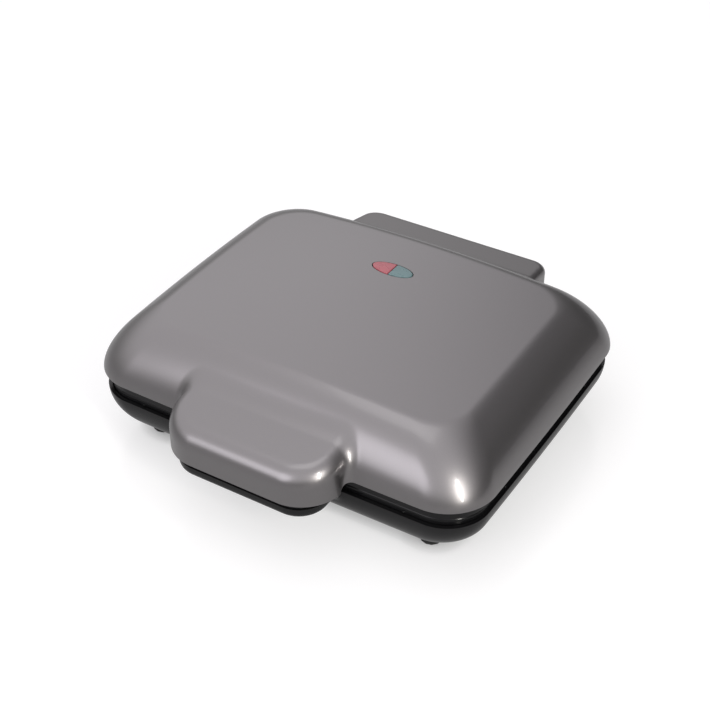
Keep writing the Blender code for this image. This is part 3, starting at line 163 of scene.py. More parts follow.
# Base shell
RIM_Z = 37.3 * MM
FLOOR_Z = 6.5 * MM
BASE_WALL = 2.5 * MM
BASE_HANDLE_FRONT_Y = -144.5 * MM
BASE_HANDLE_HALF = 53 * MM
BASE_HANDLE_BOTTOM = 30.9 * MM
BASE_HANDLE_TOP = 38.4 * MM
BASE_HANDLE_CORNER = 19.5 * MM
BASE_HANDLE_EDGE = 4.5 * MM
BASE_FILLET = 5 * MM
PAD_PLACE = (104 * MM, 85 * MM)
PAD_RADIUS = 10.5 * MM
PAD_EDGE = 0.8 * MM
BOSS_X = -100 * MM
BOSS_Z = 22 * MM
BOSS_RADIUS = 8.6 * MM
BOSS_FACE_Y = 112.7 * MM
BOSS_BORE = 5.5 * MM
BOSS_BORE_DEPTH = 25 * MM
EAR_THICK = 8 * MM
EAR_RADIUS = 7.5 * MM
EAR_FOOT = ((108 * MM, 37.5 * MM), (108 * MM, 25.5 * MM), (119.5 * MM, 37.5 * MM))

# Sunk screws of the base: places, the face that they sink from, and how deep
SUNK_SCREWS = (
    (((-98 * MM, 0), (98 * MM, 0), (0, -72 * MM), (0, 72 * MM)), FLOOR_Z, 5 * MM),
    (((-34.5 * MM, -128.5 * MM), (34.5 * MM, -128.5 * MM)), BASE_HANDLE_BOTTOM, 2.6 * MM),
)
SCREW_BORE = 3.8 * MM
SCREW_SHAFT = 1.2 * MM
SCREW_POST = 6.5 * MM
POST_BACK = 0.2 * MM
POST_TOP = 1.5 * MM
BASE_FITTING_EDGE = 0.4 * MM

# Bezels: inset from the lid's outline and height in millimetres, round their sections
LID_BEZEL = ((4.2, 42.3), (4.2, 46.4), (2.4, 47.2), (2.4, 54.0), (4.8, 54.0), (4.8, 49.4), (11.3, 49.4),
             (11.3, 45.6), (8.5, 45.6), (8.5, 42.3))
BASE_BEZEL = ((5.6, 41.7), (4.9, 40.6), (4.9, 31.5), (6.9, 31.5), (6.9, 34.6), (11.3, 34.6), (11.3, 38.4),
              (8.5, 38.4), (8.5, 41.7))
BEZEL_INNER = 7.5
BEZEL_EDGE = 0.45
PIP_RADIUS = 0.9 * MM
PIP_X = 97.5 * MM
PIP_Y = 58.5 * MM
PIP_Z = 38.3 * MM

# Indicator lenses
LENS_LENGTH = 30.6 * MM
LENS_WIDTH = 13.8 * MM
LENS_Y = 42.7 * MM
LENS_GAP = 0.45 * MM
LENS_PROUD = 0.45 * MM
LENS_DEPTH = 3 * MM
LENS_EDGE = 0.45 * MM
LENS_STEPS = 72
WINDOW_DEPTH = 20 * MM


def plan_distance(x, y, half_x, half_y, corner, bow):
    """Distance from a rounded rectangle's outline, below zero inside it."""
    over_x = np.abs(x) - (half_x - bow * (y / half_y) ** 2 - corner)
    over_y = np.abs(y) - (half_y - bow * (x / half_x) ** 2 - corner)
    outside = np.hypot(np.maximum(over_x, 0), np.maximum(over_y, 0))
    return outside + np.minimum(np.maximum(over_x, over_y), 0) - corner


def spread_between(x, y, inner, outer):
    """How far out a point lies in plan: 0 at the inner outline and 1 at the outer one."""
    low = np.full(np.shape(x), -3.0)
    high = np.full(np.shape(x), 3.0)
    for _ in range(30):
        middle = (low + high) / 2
        share = np.clip(middle, 0, 1)
        half_x, half_y = (inner[i] + (outer[i] - inner[i]) * middle for i in (0, 1))
        corner, bow = (inner[i] + (outer[i] - inner[i]) * share for i in (2, 3))
        outside = plan_distance(x, y, half_x, half_y, corner, bow) > 0
        low = np.where(outside, middle, low)
        high = np.where(outside, high, middle)
    return np.maximum((low + high) / 2, 0)


def dome_spread(x, y):
    """How far out a point lies on the dome: 0 at the shoulder's outline and 1 at the lip's."""
    return spread_between(x, y, LID_TOP_OUTLINE, LID_OUTLINE)


def crown(x, y):
    """The top's gentle rise over a point in plan."""
    along = np.clip(1 - (x / HALF_X) ** 2, 0, 1)
    across = np.clip(1 - (y / HALF_Y) ** 2, 0, 1)
    return CROWN_X * along + CROWN_Y * across


def dome_distance(x, y, z, spread=None):
    """Signed distance, nearly, from the dome. Below the lip its wall runs straight down."""
    if spread is None:
        spread = dome_spread(x, y)
    climb = np.maximum(z - LIP_Z, 0) / (DOME_RISE + crown(x, y))
    return ((spread ** DOME_POWER + climb ** DOME_POWER) ** (1 / DOME_POWER) - 1) * DOME_RISE


def rounded_meet(a, b, radius):
    """What lies inside both a and b, with a round outer edge of that radius."""
    inner = np.minimum(np.maximum(a + radius, b + radius), 0)
    return np.hypot(np.maximum(a + radius, 0), np.maximum(b + radius, 0)) + inner - radius


def rounded_join(a, b, radius):
    """What lies inside a or b, with a round fillet of that radius between them."""
    outer = np.maximum(np.minimum(a, b), radius)
    return outer - np.hypot(np.maximum(radius - a, 0), np.maximum(radius - b, 0))


def box_distance(x, y, z, end_y, root_y, end_half, root_half, top, slope, corner, edge):
    """A block that reaches out to end_y, with tapered sides, a sloped top and round edges."""
    way = math.copysign(1, end_y)
    taper = (root_half - end_half) / abs(root_y - end_y)
    half = end_half + taper * (end_y * way - y * way)
    side = (np.abs(x) - half) / math.hypot(1, taper)
    end = (y - end_y) * way
    plan = rounded_meet(side, end, corner)
    roof = (z - top - slope * (end_y * way - y * way)) / math.hypot(1, slope)
    return rounded_meet(plan, roof, edge)


def lid_distance(x, y, z, spread=None):
    """Signed distance, nearly, from the whole lid: dome, handle and hinge cover."""
    dome = dome_distance(x, y, z, spread)
    handle = box_distance(x, y, z, HANDLE_FRONT_Y, HANDLE_ROOT_Y, HANDLE_FRONT_HALF, HANDLE_ROOT_HALF,
                          HANDLE_FRONT_TOP, HANDLE_SLOPE, HANDLE_CORNER, HANDLE_EDGE)
    cover = box_distance(x, y, z, COVER_REAR_Y, COVER_ROOT_Y, COVER_REAR_HALF, COVER_ROOT_HALF,
                         COVER_TOP, COVER_SLOPE, COVER_CORNER, COVER_EDGE)
    handle = np.maximum(handle, y - HANDLE_ROOT_Y)
    cover = np.maximum(cover, COVER_ROOT_Y - y)
    return rounded_join(rounded_join(dome, handle, HANDLE_FILLET), cover, COVER_FILLET)


def base_distance(x, y, z, spread=None):
    """Signed distance, nearly, from the whole base: bowl, handle, foot pads and cord boss."""
    if spread is None:
        spread = spread_between(x, y, BASE_FLOOR_OUTLINE, BASE_OUTLINE)
    depth = RIM_Z - FLOOR_Z
    bowl = (np.hypot(spread, np.maximum(RIM_Z - z, 0) / depth) - 1) * depth
    plan = rounded_meet(np.abs(x) - BASE_HANDLE_HALF, BASE_HANDLE_FRONT_Y - y, BASE_HANDLE_CORNER)
    handle = np.maximum(rounded_meet(plan, BASE_HANDLE_BOTTOM - z, BASE_HANDLE_EDGE), y - HANDLE_ROOT_Y)
    pad = np.hypot(np.abs(x) - PAD_PLACE[0], np.abs(y) - PAD_PLACE[1]) - PAD_RADIUS
    pad = np.maximum(rounded_meet(pad, FLOOR_Z - z, PAD_EDGE), z - 2 * FLOOR_Z)
    boss = rounded_meet(np.hypot(x - BOSS_X, z - BOSS_Z) - BOSS_RADIUS, y - BOSS_FACE_Y, PAD_EDGE)
    boss = np.maximum(boss, COVER_ROOT_Y - y)
    body = rounded_join(bowl, handle, BASE_FILLET)
    return rounded_join(rounded_join(body, pad, 2 * PAD_EDGE), boss, 2 * PAD_EDGE)


# Meshes


def surface_net(values, low, cell):
    """Points and four-sided faces of the zero surface of values on a grid, facing the positive side."""
    inside = values < 0
    shape = tuple(n - 1 for n in values.shape)
    total = np.zeros(shape + (3,))
    count = np.zeros(shape)
    for axis in range(3):
        others = [a for a in range(3) if a != axis]
        near = [slice(None)] * 3
        far = [slice(None)] * 3
        near[axis] = slice(0, -1)
        far[axis] = slice(1, None)
        a, b = values[tuple(near)], values[tuple(far)]
        crossed = (a < 0) != (b < 0)
        share = np.where(crossed, a / np.where(crossed, a - b, 1), 0)
        for first in (0, 1):
            for second in (0, 1):
                pick = [slice(None)] * 3
                pick[others[0]] = slice(first, first + shape[others[0]])
                pick[others[1]] = slice(second, second + shape[others[1]])
                hit = crossed[tuple(pick)]
                spot = np.zeros(shape + (3,))
                spot[..., axis] = share[tuple(pick)]
                spot[..., others[0]] = first
                spot[..., others[1]] = second
                total += spot * hit[..., None]
                count += hit
    used = count > 0
    number = np.full(shape, -1)
    number[used] = np.arange(used.sum())
    corner = np.argwhere(used)
    points = np.array(low) + cell * (corner + total[used] / count[used][:, None])
    faces = []
    for axis in range(3):
        others = [a for a in range(3) if a != axis]
        near = [slice(1, -1)] * 3
        far = [slice(1, -1)] * 3
        near[axis] = slice(0, -1)
        far[axis] = slice(1, None)
        a, b = inside[tuple(near)], inside[tuple(far)]
        spots = np.argwhere(a != b)
        leaving = a[tuple(spots.T)]
        spots = spots + np.array([0 if i == axis else 1 for i in range(3)])
        ring = []
        for first, second in ((-1, -1), (0, -1), (0, 0), (-1, 0)):
            shift = np.zeros(3, int)
            shift[others[0]] = first
            shift[others[1]] = second
            ring.append(number[tuple((spots + shift).T)])
        ring = np.stack(ring, 1)
        turned = leaving if axis != 1 else ~leaving
        ring[~turned] = ring[~turned][:, ::-1]
        faces.append(ring)
    return points, np.concatenate(faces)


def settle(points, faces, distance, rounds=3, nudge=0.02 * MM):
    """Evens the points out and draws them in to where distance is zero."""
    pairs = np.concatenate([faces[:, [i, (i + 1) % 4]] for i in range(4)])
    pairs = np.unique(np.sort(pairs, 1), axis=0)
    for turn in range(rounds + 1):
        if turn:
            total = np.zeros_like(points)
            count = np.bincount(pairs.ravel(), minlength=len(points))
            for a, b in ((0, 1), (1, 0)):
                for axis in range(3):
                    total[:, axis] += np.bincount(pairs[:, a], points[pairs[:, b], axis], len(points))
            points = points + 0.5 * (total / count[:, None] - points)
        for _ in range(3):
            value = distance(*points.T)
            slope = np.stack([(distance(*(points + step).T) - distance(*(points - step).T)) / (2 * nudge)
                              for step in np.eye(3) * nudge], 1)
            points = points - (value / np.maximum((slope ** 2).sum(1), 1e-6))[:, None] * slope
    return points


def stored(bm, name):
    """The mesh of bm, which is freed."""
    mesh = bpy.data.meshes.new(name)
    bm.to_mesh(mesh)
    bm.free()
    return mesh


def finished(bm, name):
    """The mesh of bm, its faces turned outwards."""
    bmesh.ops.recalc_face_normals(bm, faces=bm.faces)
    return stored(bm, name)


def placed(name, data):
    """An object of some data, in the scene."""
    made = bpy.data.objects.new(name, data)
    bpy.context.scene.collection.objects.link(made)
    return made


def new_piece(name, body, mesh, finish):
    """An object of a mesh that rides on a body and takes its finish from a slot, shaded smooth."""
    mesh.shade_smooth()
    mesh.set_sharp_from_angle(angle=SHARP_ANGLE)
    mesh.materials.append(finish)
    made = placed(name, mesh)
    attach(made, body)
    return made


# Materials


def new_material(name, **values):
    """A Principled material. Values are keyed by socket name with underscores."""
    made = bpy.data.materials.new(name)
    made.use_nodes = True
    shader = made.node_tree.nodes["Principled BSDF"]
    for key, value in values.items():
        shader.inputs[key.replace("_", " ")].default_value = value
    return made


def add_node(tree, kind, **values):
    """A node in a tree, with its properties and its inputs' defaults."""
    made = tree.nodes.new(kind)
    for key, value in values.items():
        if hasattr(made, key):
            setattr(made, key, value)
        else:
            made.inputs[key.replace("_", " ")].default_value = value
    return made


def link(tree, source, output, target, slot):
    """A link between two nodes of a tree."""
    tree.links.new(source.outputs[output], target.inputs[slot])


def joined(tree, kind, *sources, **values):
    """The output of a new node whose first inputs are fed by the given outputs."""
    made = add_node(tree, kind, **values)
    for slot, source in zip(made.inputs, sources):
        tree.links.new(source, slot)
    return made.outputs[0]


def speckle(finish, scale, low, high, colour_low, colour_high, bump=0.0):
    """Fine noise on the roughness, the colour and, where bump is given, the surface."""
    tree = finish.node_tree
    shader = tree.nodes["Principled BSDF"]
    place = add_node(tree, "ShaderNodeTexCoord")
    noise = add_node(tree, "ShaderNodeTexNoise", Scale=scale, Detail=2.0)
    link(tree, place, "Object", noise, "Vector")
    rough = add_node(tree, "ShaderNodeMapRange", To_Min=low, To_Max=high)
    link(tree, noise, "Fac", rough, "Value")
    link(tree, rough, "Result", shader, "Roughness")
    mix = add_node(tree, "ShaderNodeMix", data_type="RGBA")
    mix.inputs[6].default_value = (*colour_low, 1)
    mix.inputs[7].default_value = (*colour_high, 1)
    link(tree, noise, "Fac", mix, 0)
    link(tree, mix, 2, shader, "Base Color")
    if bump:
        raised = add_node(tree, "ShaderNodeBump", Strength=bump, Distance=0.05 * MM)
        link(tree, noise, "Fac", raised, "Height")
        link(tree, raised, "Normal", shader, "Normal")
    return finish


def silver_paint():
    """Metallic paint: fine flakes under a satin lacquer."""
    made = new_material("silver_paint", Metallic=0.9, Coat_Weight=1.0, Coat_Roughness=0.10)
    return speckle(made, 2600, 0.30, 0.37, (0.241, 0.230, 0.234), (0.282, 0.270, 0.274), bump=0.05)


def gloss_black():
    """Glossy black moulding."""
    made = new_material("gloss_black", Specular_IOR_Level=0.3)
    return speckle(made, 400, 0.16, 0.24, (0.004, 0.004, 0.0045), (0.007, 0.007, 0.0075))


def dark_base():
    """Dark glossy moulding with a faint unevenness."""
    made = new_material("dark_base", Specular_IOR_Level=0.42)
    return speckle(made, 700, 0.12, 0.17, (0.0050, 0.0050, 0.0055), (0.0080, 0.0080, 0.0085), bump=0.04)


def satin_black():
    """Satin black moulding."""
    made = new_material("satin_black", Specular_IOR_Level=0.4)
    return speckle(made, 1500, 0.34, 0.48, (0.010, 0.010, 0.011), (0.016, 0.016, 0.017), bump=0.15)


def nonstick():
    """Dark non-stick coating with fine glints."""
    made = new_material("nonstick", Metallic=0.25, Specular_IOR_Level=0.6)
    return speckle(made, 3200, 0.26, 0.42, (0.022, 0.022, 0.023), (0.050, 0.049, 0.050), bump=0.2)


def metal(name, low, high, rough_low, rough_high, scale=900):
    """Plain metal with a slight variation."""
    made = new_material(name, Metallic=1.0)
    return speckle(made, scale, rough_low, rough_high, low, high, bump=0.1)


def lens(name, low, high):
    """Tinted plastic that stays a flat, soft colour unlit."""
    made = new_material(name, Coat_Weight=0.4, Coat_Roughness=0.12, Transmission_Weight=0.12, IOR=1.49)
    return speckle(made, 220, 0.22, 0.34, low, high)


PAINT = silver_paint()
GLOSS = gloss_black()
BASE = dark_base()
RED = lens("lens_red", (0.44, 0.105, 0.130), (0.54, 0.145, 0.170))
GREEN = lens("lens_green", (0.130, 0.225, 0.235), (0.180, 0.285, 0.295))
FINISHES = {
    "silver_paint": PAINT,
    "gloss_black": GLOSS,
    "dark_base": BASE,
    "satin_black": satin_black(),
    "nonstick": nonstick(),
    "reflector_steel": metal("reflector_steel", (0.50, 0.50, 0.49), (0.60, 0.60, 0.59), 0.16, 0.34),
    "heater_sheath": metal("heater_sheath", (0.10, 0.09, 0.085), (0.20, 0.17, 0.15), 0.40, 0.60),
    "screw_steel": metal("screw_steel", (0.42, 0.42, 0.42), (0.55, 0.55, 0.55), 0.25, 0.42),
    "foot_rubber": speckle(new_material("foot_rubber"), 1800, 0.6, 0.8, (0.010, 0.010, 0.010),
                           (0.022, 0.022, 0.022), bump=0.3),
    "red_lens": RED,
    "green_lens": GREEN,
    "lamp_glass": speckle(new_material("lamp_glass", Transmission_Weight=0.8, IOR=1.5), 300, 0.05, 0.12,
                          (0.85, 0.80, 0.74), (0.95, 0.88, 0.80)),
    "holder_plastic": speckle(new_material("holder_plastic"), 900, 0.45, 0.6, (0.62, 0.60, 0.55),
                              (0.72, 0.70, 0.65), bump=0.2),
    "sensor_case": metal("sensor_case", (0.50, 0.50, 0.50), (0.62, 0.62, 0.62), 0.3, 0.5),
    "lead_insulation": speckle(new_material("lead_insulation"), 2400, 0.6, 0.8, (0.55, 0.52, 0.45),
                               (0.70, 0.67, 0.60), bump=0.4),
}


def dress_nodes():
    """Each of the model's nodes gets its slot's material."""
    for row in frame["record"]["subparts"]:
        node = nodes[row["node"]]
        node.data.materials.clear()
        node.data.materials.append(FINISHES[row["material_slot"]])
        node.data.shade_smooth()
        node.data.set_sharp_from_angle(angle=NODE_SHARP_ANGLE)


# Pieces


def edge_share(x, reach, fillet, half):
    """How far a point of the outline has gone from the body's wall into a handle's: 0 to 1."""
    if abs(x) > half + fillet + MM:
        return 0
    share = min(max(reach / fillet, 0), 1)
    return 1 - math.sqrt(1 - share * share)


def skirt_height(x, y):
    """Where the lid's lower edge lies at a point of its outline."""
    fillet = HANDLE_FILLET if y < 0 else COVER_FILLET
    return LIP_Z + (SKIRT_BOTTOM - LIP_Z) * edge_share(x, abs(y) - HALF_Y, fillet, COVER_ROOT_HALF)


def rim_height(x, y):
    """Where the base's upper edge lies at a point of its outline."""
    share = edge_share(x, -y - BASE_OUTLINE[1], BASE_FILLET, BASE_HANDLE_HALF)
    return RIM_Z + (BASE_HANDLE_TOP - RIM_Z) * share


def edge_verts(bm):
    """The points on an open mesh's edge."""
    return [v for v in bm.verts if v.is_boundary]


def moulded_skin(name, distance, outlines, y_range, z_range, cut_z, keep_up, edge_height, wall):
    """A moulding as one fine open surface, cut at a height, its edge drawn on to edge_height."""
    inner, outer = outlines
    low = np.array((-outer[0] - 3 * CELL, y_range[0] - 3 * CELL, z_range[0]))
    high = (outer[0] + 3 * CELL, y_range[1] + 3 * CELL, z_range[1])
    counts = [math.ceil((high[i] - low[i]) / CELL) + 1 for i in range(3)]
    x, y, z = (low[i] + CELL * np.arange(counts[i]) for i in range(3))
    flat_x, flat_y = np.meshgrid(x, y, indexing="ij")
    spread = spread_between(flat_x, flat_y, inner, outer)[:, :, None]
    values = distance(flat_x[:, :, None], flat_y[:, :, None], z[None, None, :], spread)
    points, faces = surface_net(values, low, CELL)
    points = settle(points, faces, distance)
    mesh = bpy.data.meshes.new(name)
    mesh.from_pydata([tuple(p) for p in points], [], [tuple(int(i) for i in f) for f in faces])
    bm = bmesh.new()
    bm.from_mesh(mesh)
    bmesh.ops.bisect_plane(bm, geom=bm.verts[:] + bm.edges[:] + bm.faces[:], plane_co=(0, 0, cut_z),
                           plane_no=(0, 0, 1), clear_inner=keep_up, clear_outer=not keep_up, dist=1e-7)
    bmesh.ops.remove_doubles(bm, verts=edge_verts(bm), dist=0.15 * MM)
    rim = [e for e in bm.edges if e.is_boundary]
    for ring in range(SKIRT_RINGS):
        made = bmesh.ops.extrude_edge_only(bm, edges=rim)["geom"]
        rim = [g for g in made if isinstance(g, bmesh.types.BMEdge) and g.is_boundary]
        for vert in edge_verts(bm):
            vert.co.z = cut_z + (edge_height(vert.co.x, vert.co.y) - cut_z) * (ring + 1) / SKIRT_RINGS
    bmesh.ops.remove_doubles(bm, verts=bm.verts, dist=0.01 * MM)
    bmesh.ops.dissolve_degenerate(bm, edges=bm.edges, dist=0.01 * MM)
    bmesh.ops.recalc_face_normals(bm, faces=bm.faces)
    bm.normal_update()
    middle = min(bm.faces, key=lambda f: f.calc_center_median().to_2d().length)
    if (middle.normal.z > 0) != keep_up:
        bmesh.ops.reverse_faces(bm, faces=bm.faces)
    bmesh.ops.translate(bm, verts=bm.verts, vec=(0, BODY_Y, 0))
    bm.to_mesh(mesh)
    bm.free()
    made = placed(name, mesh)
    solid = made.modifiers.new("wall", "SOLIDIFY")
    solid.thickness = wall
    solid.offset = -1
    return made


def circle(centre, radius, steps=48):
    """Points round a circle in a plane."""
    return [(centre[0] + radius * math.cos(2 * math.pi * i / steps),
             centre[1] + radius * math.sin(2 * math.pi * i / steps)) for i in range(steps)]


def arc(centre, radius, first, last, steps=24):
    """Points on a circle's arc, from one angle in degrees to another."""
    angles = [math.radians(first + (last - first) * i / steps) for i in range(steps + 1)]
    return [(centre[0] + radius * math.cos(a), centre[1] + radius * math.sin(a)) for a in angles]


def prism(bm, loops, axis, low, high):
    """Adds a straight solid to bm: an outline with holes, drawn from low to high along an axis."""
    edges = []
    for loop in loops:
        ring = []
        for a, b in loop:
            spot = [a, b]
            spot.insert(axis, low)
            ring.append(bm.verts.new((spot[0], spot[1] + BODY_Y, spot[2])))
        edges += [bm.edges.new((ring[i], ring[(i + 1) % len(ring)])) for i in range(len(ring))]
    faces = [g for g in bmesh.ops.triangle_fill(bm, edges=edges, use_beauty=True)["geom"]
             if isinstance(g, bmesh.types.BMFace)]
    made = bmesh.ops.extrude_face_region(bm, geom=faces)["geom"]
    step = [0, 0, 0]
    step[axis] = high - low
    bmesh.ops.translate(bm, verts=[g for g in made if isinstance(g, bmesh.types.BMVert)], vec=step)


def soft_edges(piece, width):
    """A small round on a piece's sharp edges."""
    edge = piece.modifiers.new("edge", "BEVEL")
    edge.width = width
    edge.segments = 3
    edge.limit_method = "ANGLE"
    edge.angle_limit = SHARP_ANGLE


def cut_away(piece, cutter_mesh):
    """Applies a piece's modifiers and takes a cutter's space out of it."""
    cutter = placed("cutter", cutter_mesh)
    cut = piece.modifiers.new("cut", "BOOLEAN")
    cut.operation = "DIFFERENCE"
    cut.solver = "EXACT"
    cut.object = cutter
    bpy.context.view_layer.update()
    ready = piece.evaluated_get(bpy.context.evaluated_depsgraph_get())
    mesh = bpy.data.meshes.new_from_object(ready)
    piece.modifiers.clear()
    piece.data = mesh
    bpy.data.objects.remove(cutter)
    mesh.shade_smooth()
    mesh.set_sharp_from_angle(angle=SHARP_ANGLE)


def lid_fittings():
    """The lid's hinge brackets under the hinge cover, and the tabs that hold the handle's cover."""
    bm = bmesh.new()
    rear, front = AXIS_Y + BRACKET_RADIUS, AXIS_Y - BRACKET_RADIUS
    roof = [COVER_TOP + COVER_SLOPE * (COVER_REAR_Y - y) - LID_WALL / 2 for y in (rear, front)]
    outline = arc((AXIS_Y, AXIS_Z), BRACKET_RADIUS, 180, 360) + [(rear, roof[0]), (front, roof[1])]
    hole = circle((AXIS_Y, AXIS_Z), PIN_HOLE)
    for middle in (-EAR_X, EAR_X):
        for side in (-1, 1):
            x = middle + side * BRACKET_OFFSET
            prism(bm, (outline, hole), 0, x - BRACKET_THICK / 2, x + BRACKET_THICK / 2)
    for side in (-1, 1):
        corners = [(side * x, y) for x, y in ((TAB_X[0], TAB_Y[0]), (TAB_X[1], TAB_Y[0]),
                                             (TAB_X[1], TAB_Y[1]), (TAB_X[0], TAB_Y[1]))]
        prism(bm, (corners,), 2, *TAB_Z)
    mesh = finished(bm, "lid_fittings")
    soft_edges(new_piece("lid_fittings", "lid", mesh, PAINT), LID_FITTING_EDGE)


def base_fittings():
    """The base's hinge ears, and the posts round its sunk screws."""
    bm = bmesh.new()
    outline = arc((AXIS_Y, AXIS_Z), EAR_RADIUS, -90, 115) + list(EAR_FOOT)
    hole = circle((AXIS_Y, AXIS_Z), PIN_HOLE)
    for middle in (-EAR_X, EAR_X):
        prism(bm, (outline, hole), 0, middle - EAR_THICK / 2, middle + EAR_THICK / 2)
    for spots, bottom, depth in SUNK_SCREWS:
        for spot in spots:
            seat = bottom + depth
            prism(bm, (circle(spot, SCREW_POST), circle(spot, SCREW_BORE)), 2, bottom + POST_BACK, seat)
            prism(bm, (circle(spot, SCREW_POST), circle(spot, SCREW_SHAFT)), 2, seat, seat + POST_TOP)
    mesh = finished(bm, "base_fittings")
    soft_edges(new_piece("base_fittings", "base", mesh, BASE), BASE_FITTING_EDGE)


def base_bores():
    """Cutter for the sunk screws and the cord's bore."""
    bm = bmesh.new()
    for spots, bottom, depth in SUNK_SCREWS:
        for spot in spots:
            prism(bm, (circle(spot, SCREW_BORE),), 2, bottom - MM, bottom + depth)
    bore = circle((BOSS_X, BOSS_Z), BOSS_BORE)
    prism(bm, (bore,), 1, BOSS_FACE_Y - BOSS_BORE_DEPTH, BOSS_FACE_Y + 3 * MM)
    return finished(bm, "base_bores")


def rounded_profile(points, radius, steps=3):
    """A closed section with its corners rounded."""
    result = []
    for i, here in enumerate(points):
        before, after = Vector(points[i - 1]), Vector(points[(i + 1) % len(points)])
        here = Vector(here)
        back, ahead = before - here, after - here
        cut = min(radius, back.length / 2.2, ahead.length / 2.2)
        first, last = here + back.normalized() * cut, here + ahead.normalized() * cut
        for step in range(steps + 1):
            share = step / steps
            result.append((1 - share) ** 2 * first + 2 * share * (1 - share) * here + share ** 2 * last)
    return result


def ring_points(outline, inset, corner_steps=20, side_steps=16):
    """Points round an outline, drawn in by inset."""
    half_x, half_y, corner, bow = outline
    reach_x, reach_y = half_x - corner, half_y - corner
    turn = corner - inset
    signs = ((1, 1), (-1, 1), (-1, -1), (1, -1))

    def corner_point(quarter, angle):
        side_x, side_y = signs[quarter % 4]
        return (side_x * reach_x + turn * math.cos(angle), side_y * reach_y + turn * math.sin(angle))

    points = []
    for quarter in range(4):
        for step in range(corner_steps + 1):
            points.append(corner_point(quarter, math.pi / 2 * (quarter + step / corner_steps)))
        end = points[-1]
        start = corner_point(quarter + 1, math.pi / 2 * (quarter + 1))
        for step in range(1, side_steps):
            share = step / side_steps
            points.append((end[0] + (start[0] - end[0]) * share, end[1] + (start[1] - end[1]) * share))
    return [(x - math.copysign(bow, x) * (y / half_y) ** 2 * min(abs(x) / reach_x, 1),
             y - math.copysign(bow, y) * (x / half_x) ** 2 * min(abs(y) / reach_y, 1)) for x, y in points]


def band(bm, profile):
    """Adds a ring to bm: a closed section carried round the body."""
    rings = []
    for inset, z in rounded_profile(profile, BEZEL_EDGE):
        outline = PLATE_OUTLINE if inset > BEZEL_INNER else LID_OUTLINE
        rings.append([bm.verts.new((x, y + BODY_Y, z * MM)) for x, y in ring_points(outline, inset * MM)])
    for here, after in zip(rings, rings[1:] + rings[:1]):
        for i in range(len(here)):
            j = (i + 1) % len(here)
            bm.faces.new((here[i], here[j], after[j], after[i]))


def pip(bm, x, y):
    """Adds a small round pip to bm, half sunk in the wall it stands on."""
    made = bmesh.ops.create_uvsphere(bm, u_segments=16, v_segments=10, radius=PIP_RADIUS)["verts"]
    bmesh.ops.translate(bm, verts=made, vec=(x, y + BODY_Y, PIP_Z))


def bezel(name, body, bm, node):
    """A finished bezel, in place of the model's own."""
    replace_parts(new_piece(name, body, finished(bm, name), GLOSS), node)


def bezels():
    """The two glossy bands between the shells. The base's has small pips on its wall."""
    bm = bmesh.new()
    band(bm, LID_BEZEL)
    bezel("lid_bezel_fine", "lid", bm, "lid_bezel")
    bm = bmesh.new()
    band(bm, BASE_BEZEL)
    wall, bow = BASE_BEZEL[1][0] * MM, LID_OUTLINE[3]
    across = HALF_Y - wall - bow * (PIP_X / HALF_X) ** 2
    along = HALF_X - wall - bow * (PIP_Y / HALF_Y) ** 2
    for x in (-PIP_X, PIP_X):
        for side in (-1, 1):
            pip(bm, x, side * across)
    for y in (-PIP_Y, PIP_Y):
        for side in (-1, 1):
            pip(bm, side * along, y)
    bezel("base_bezel_fine", "base", bm, "base_bezel")


def top_height(x, y):
    """The dome's height over a point near the middle, in the frame."""
    return LIP_Z + DOME_RISE + float(crown(np.array(x), np.array(y - BODY_Y)))


def ellipse_points(half_x, half_y, first, last, steps):
    """Points on an arc of an ellipse round the lenses' middle."""
    points = []
    for step in range(steps + 1):
        angle = first + (last - first) * step / steps
        points.append((half_x * math.cos(angle), half_y * math.sin(angle)))
    return points


def lens_window(lid):
    """Cuts the lenses' oval window through the lid's skin."""
    bm = bmesh.new()
    outline = ellipse_points(LENS_LENGTH / 2 + LENS_GAP, LENS_WIDTH / 2 + LENS_GAP, 0, 2 * math.pi,
                             LENS_STEPS)
    loop = [(x, y + LENS_Y) for x, y in outline[:-1]]
    prism(bm, (loop,), 2, LIP_Z + DOME_RISE, LIP_Z + DOME_RISE + WINDOW_DEPTH)
    cut_away(lid, finished(bm, "window_cutter"))


def lens_half(name, side, finish):
    """One half of the oval lens, slightly proud of the lid, with a soft rim."""
    outline = ellipse_points(LENS_LENGTH / 2 - LENS_GAP / 2, LENS_WIDTH / 2 - LENS_GAP / 2,
                             -math.pi / 2, math.pi / 2, LENS_STEPS // 2)
    outline = [(side * max(x, LENS_GAP / 2), y + LENS_Y + BODY_Y) for x, y in outline]
    bm = bmesh.new()
    ring = [bm.verts.new((x, y, top_height(x, y) + LENS_PROUD)) for x, y in outline]
    top = bm.faces.new(ring)
    made = bmesh.ops.extrude_face_region(bm, geom=[top])["geom"]
    bmesh.ops.translate(bm, verts=[g for g in made if isinstance(g, bmesh.types.BMVert)],
                        vec=(0, 0, -LENS_DEPTH))
    bmesh.ops.recalc_face_normals(bm, faces=bm.faces)
    rim = [e for e in bm.edges if all(v.co.z > LIP_Z + DOME_RISE + CROWN_X for v in e.verts)]
    bmesh.ops.bevel(bm, geom=rim, offset=LENS_EDGE, segments=4, profile=0.5, affect="EDGES")
    bmesh.ops.triangulate(bm, faces=[f for f in bm.faces if len(f.verts) > 4])
    return new_piece(name, "lid", stored(bm, name), finish)


# Stage


def camera():
    """The photograph's camera."""
    data = bpy.data.cameras.new("camera")
    data.lens = CAMERA_LENS
    data.sensor_width = 36
    data.clip_start = 0.01
    made = placed("camera", data)
    made.location = CAMERA_PLACE
    made.rotation_euler = (CAMERA_AIM - CAMERA_PLACE).to_track_quat("-Z", "Y").to_euler()
    bpy.context.scene.camera = made


def grey(level):
    """A grey colour of a level."""
    return (level, level, level, 1)


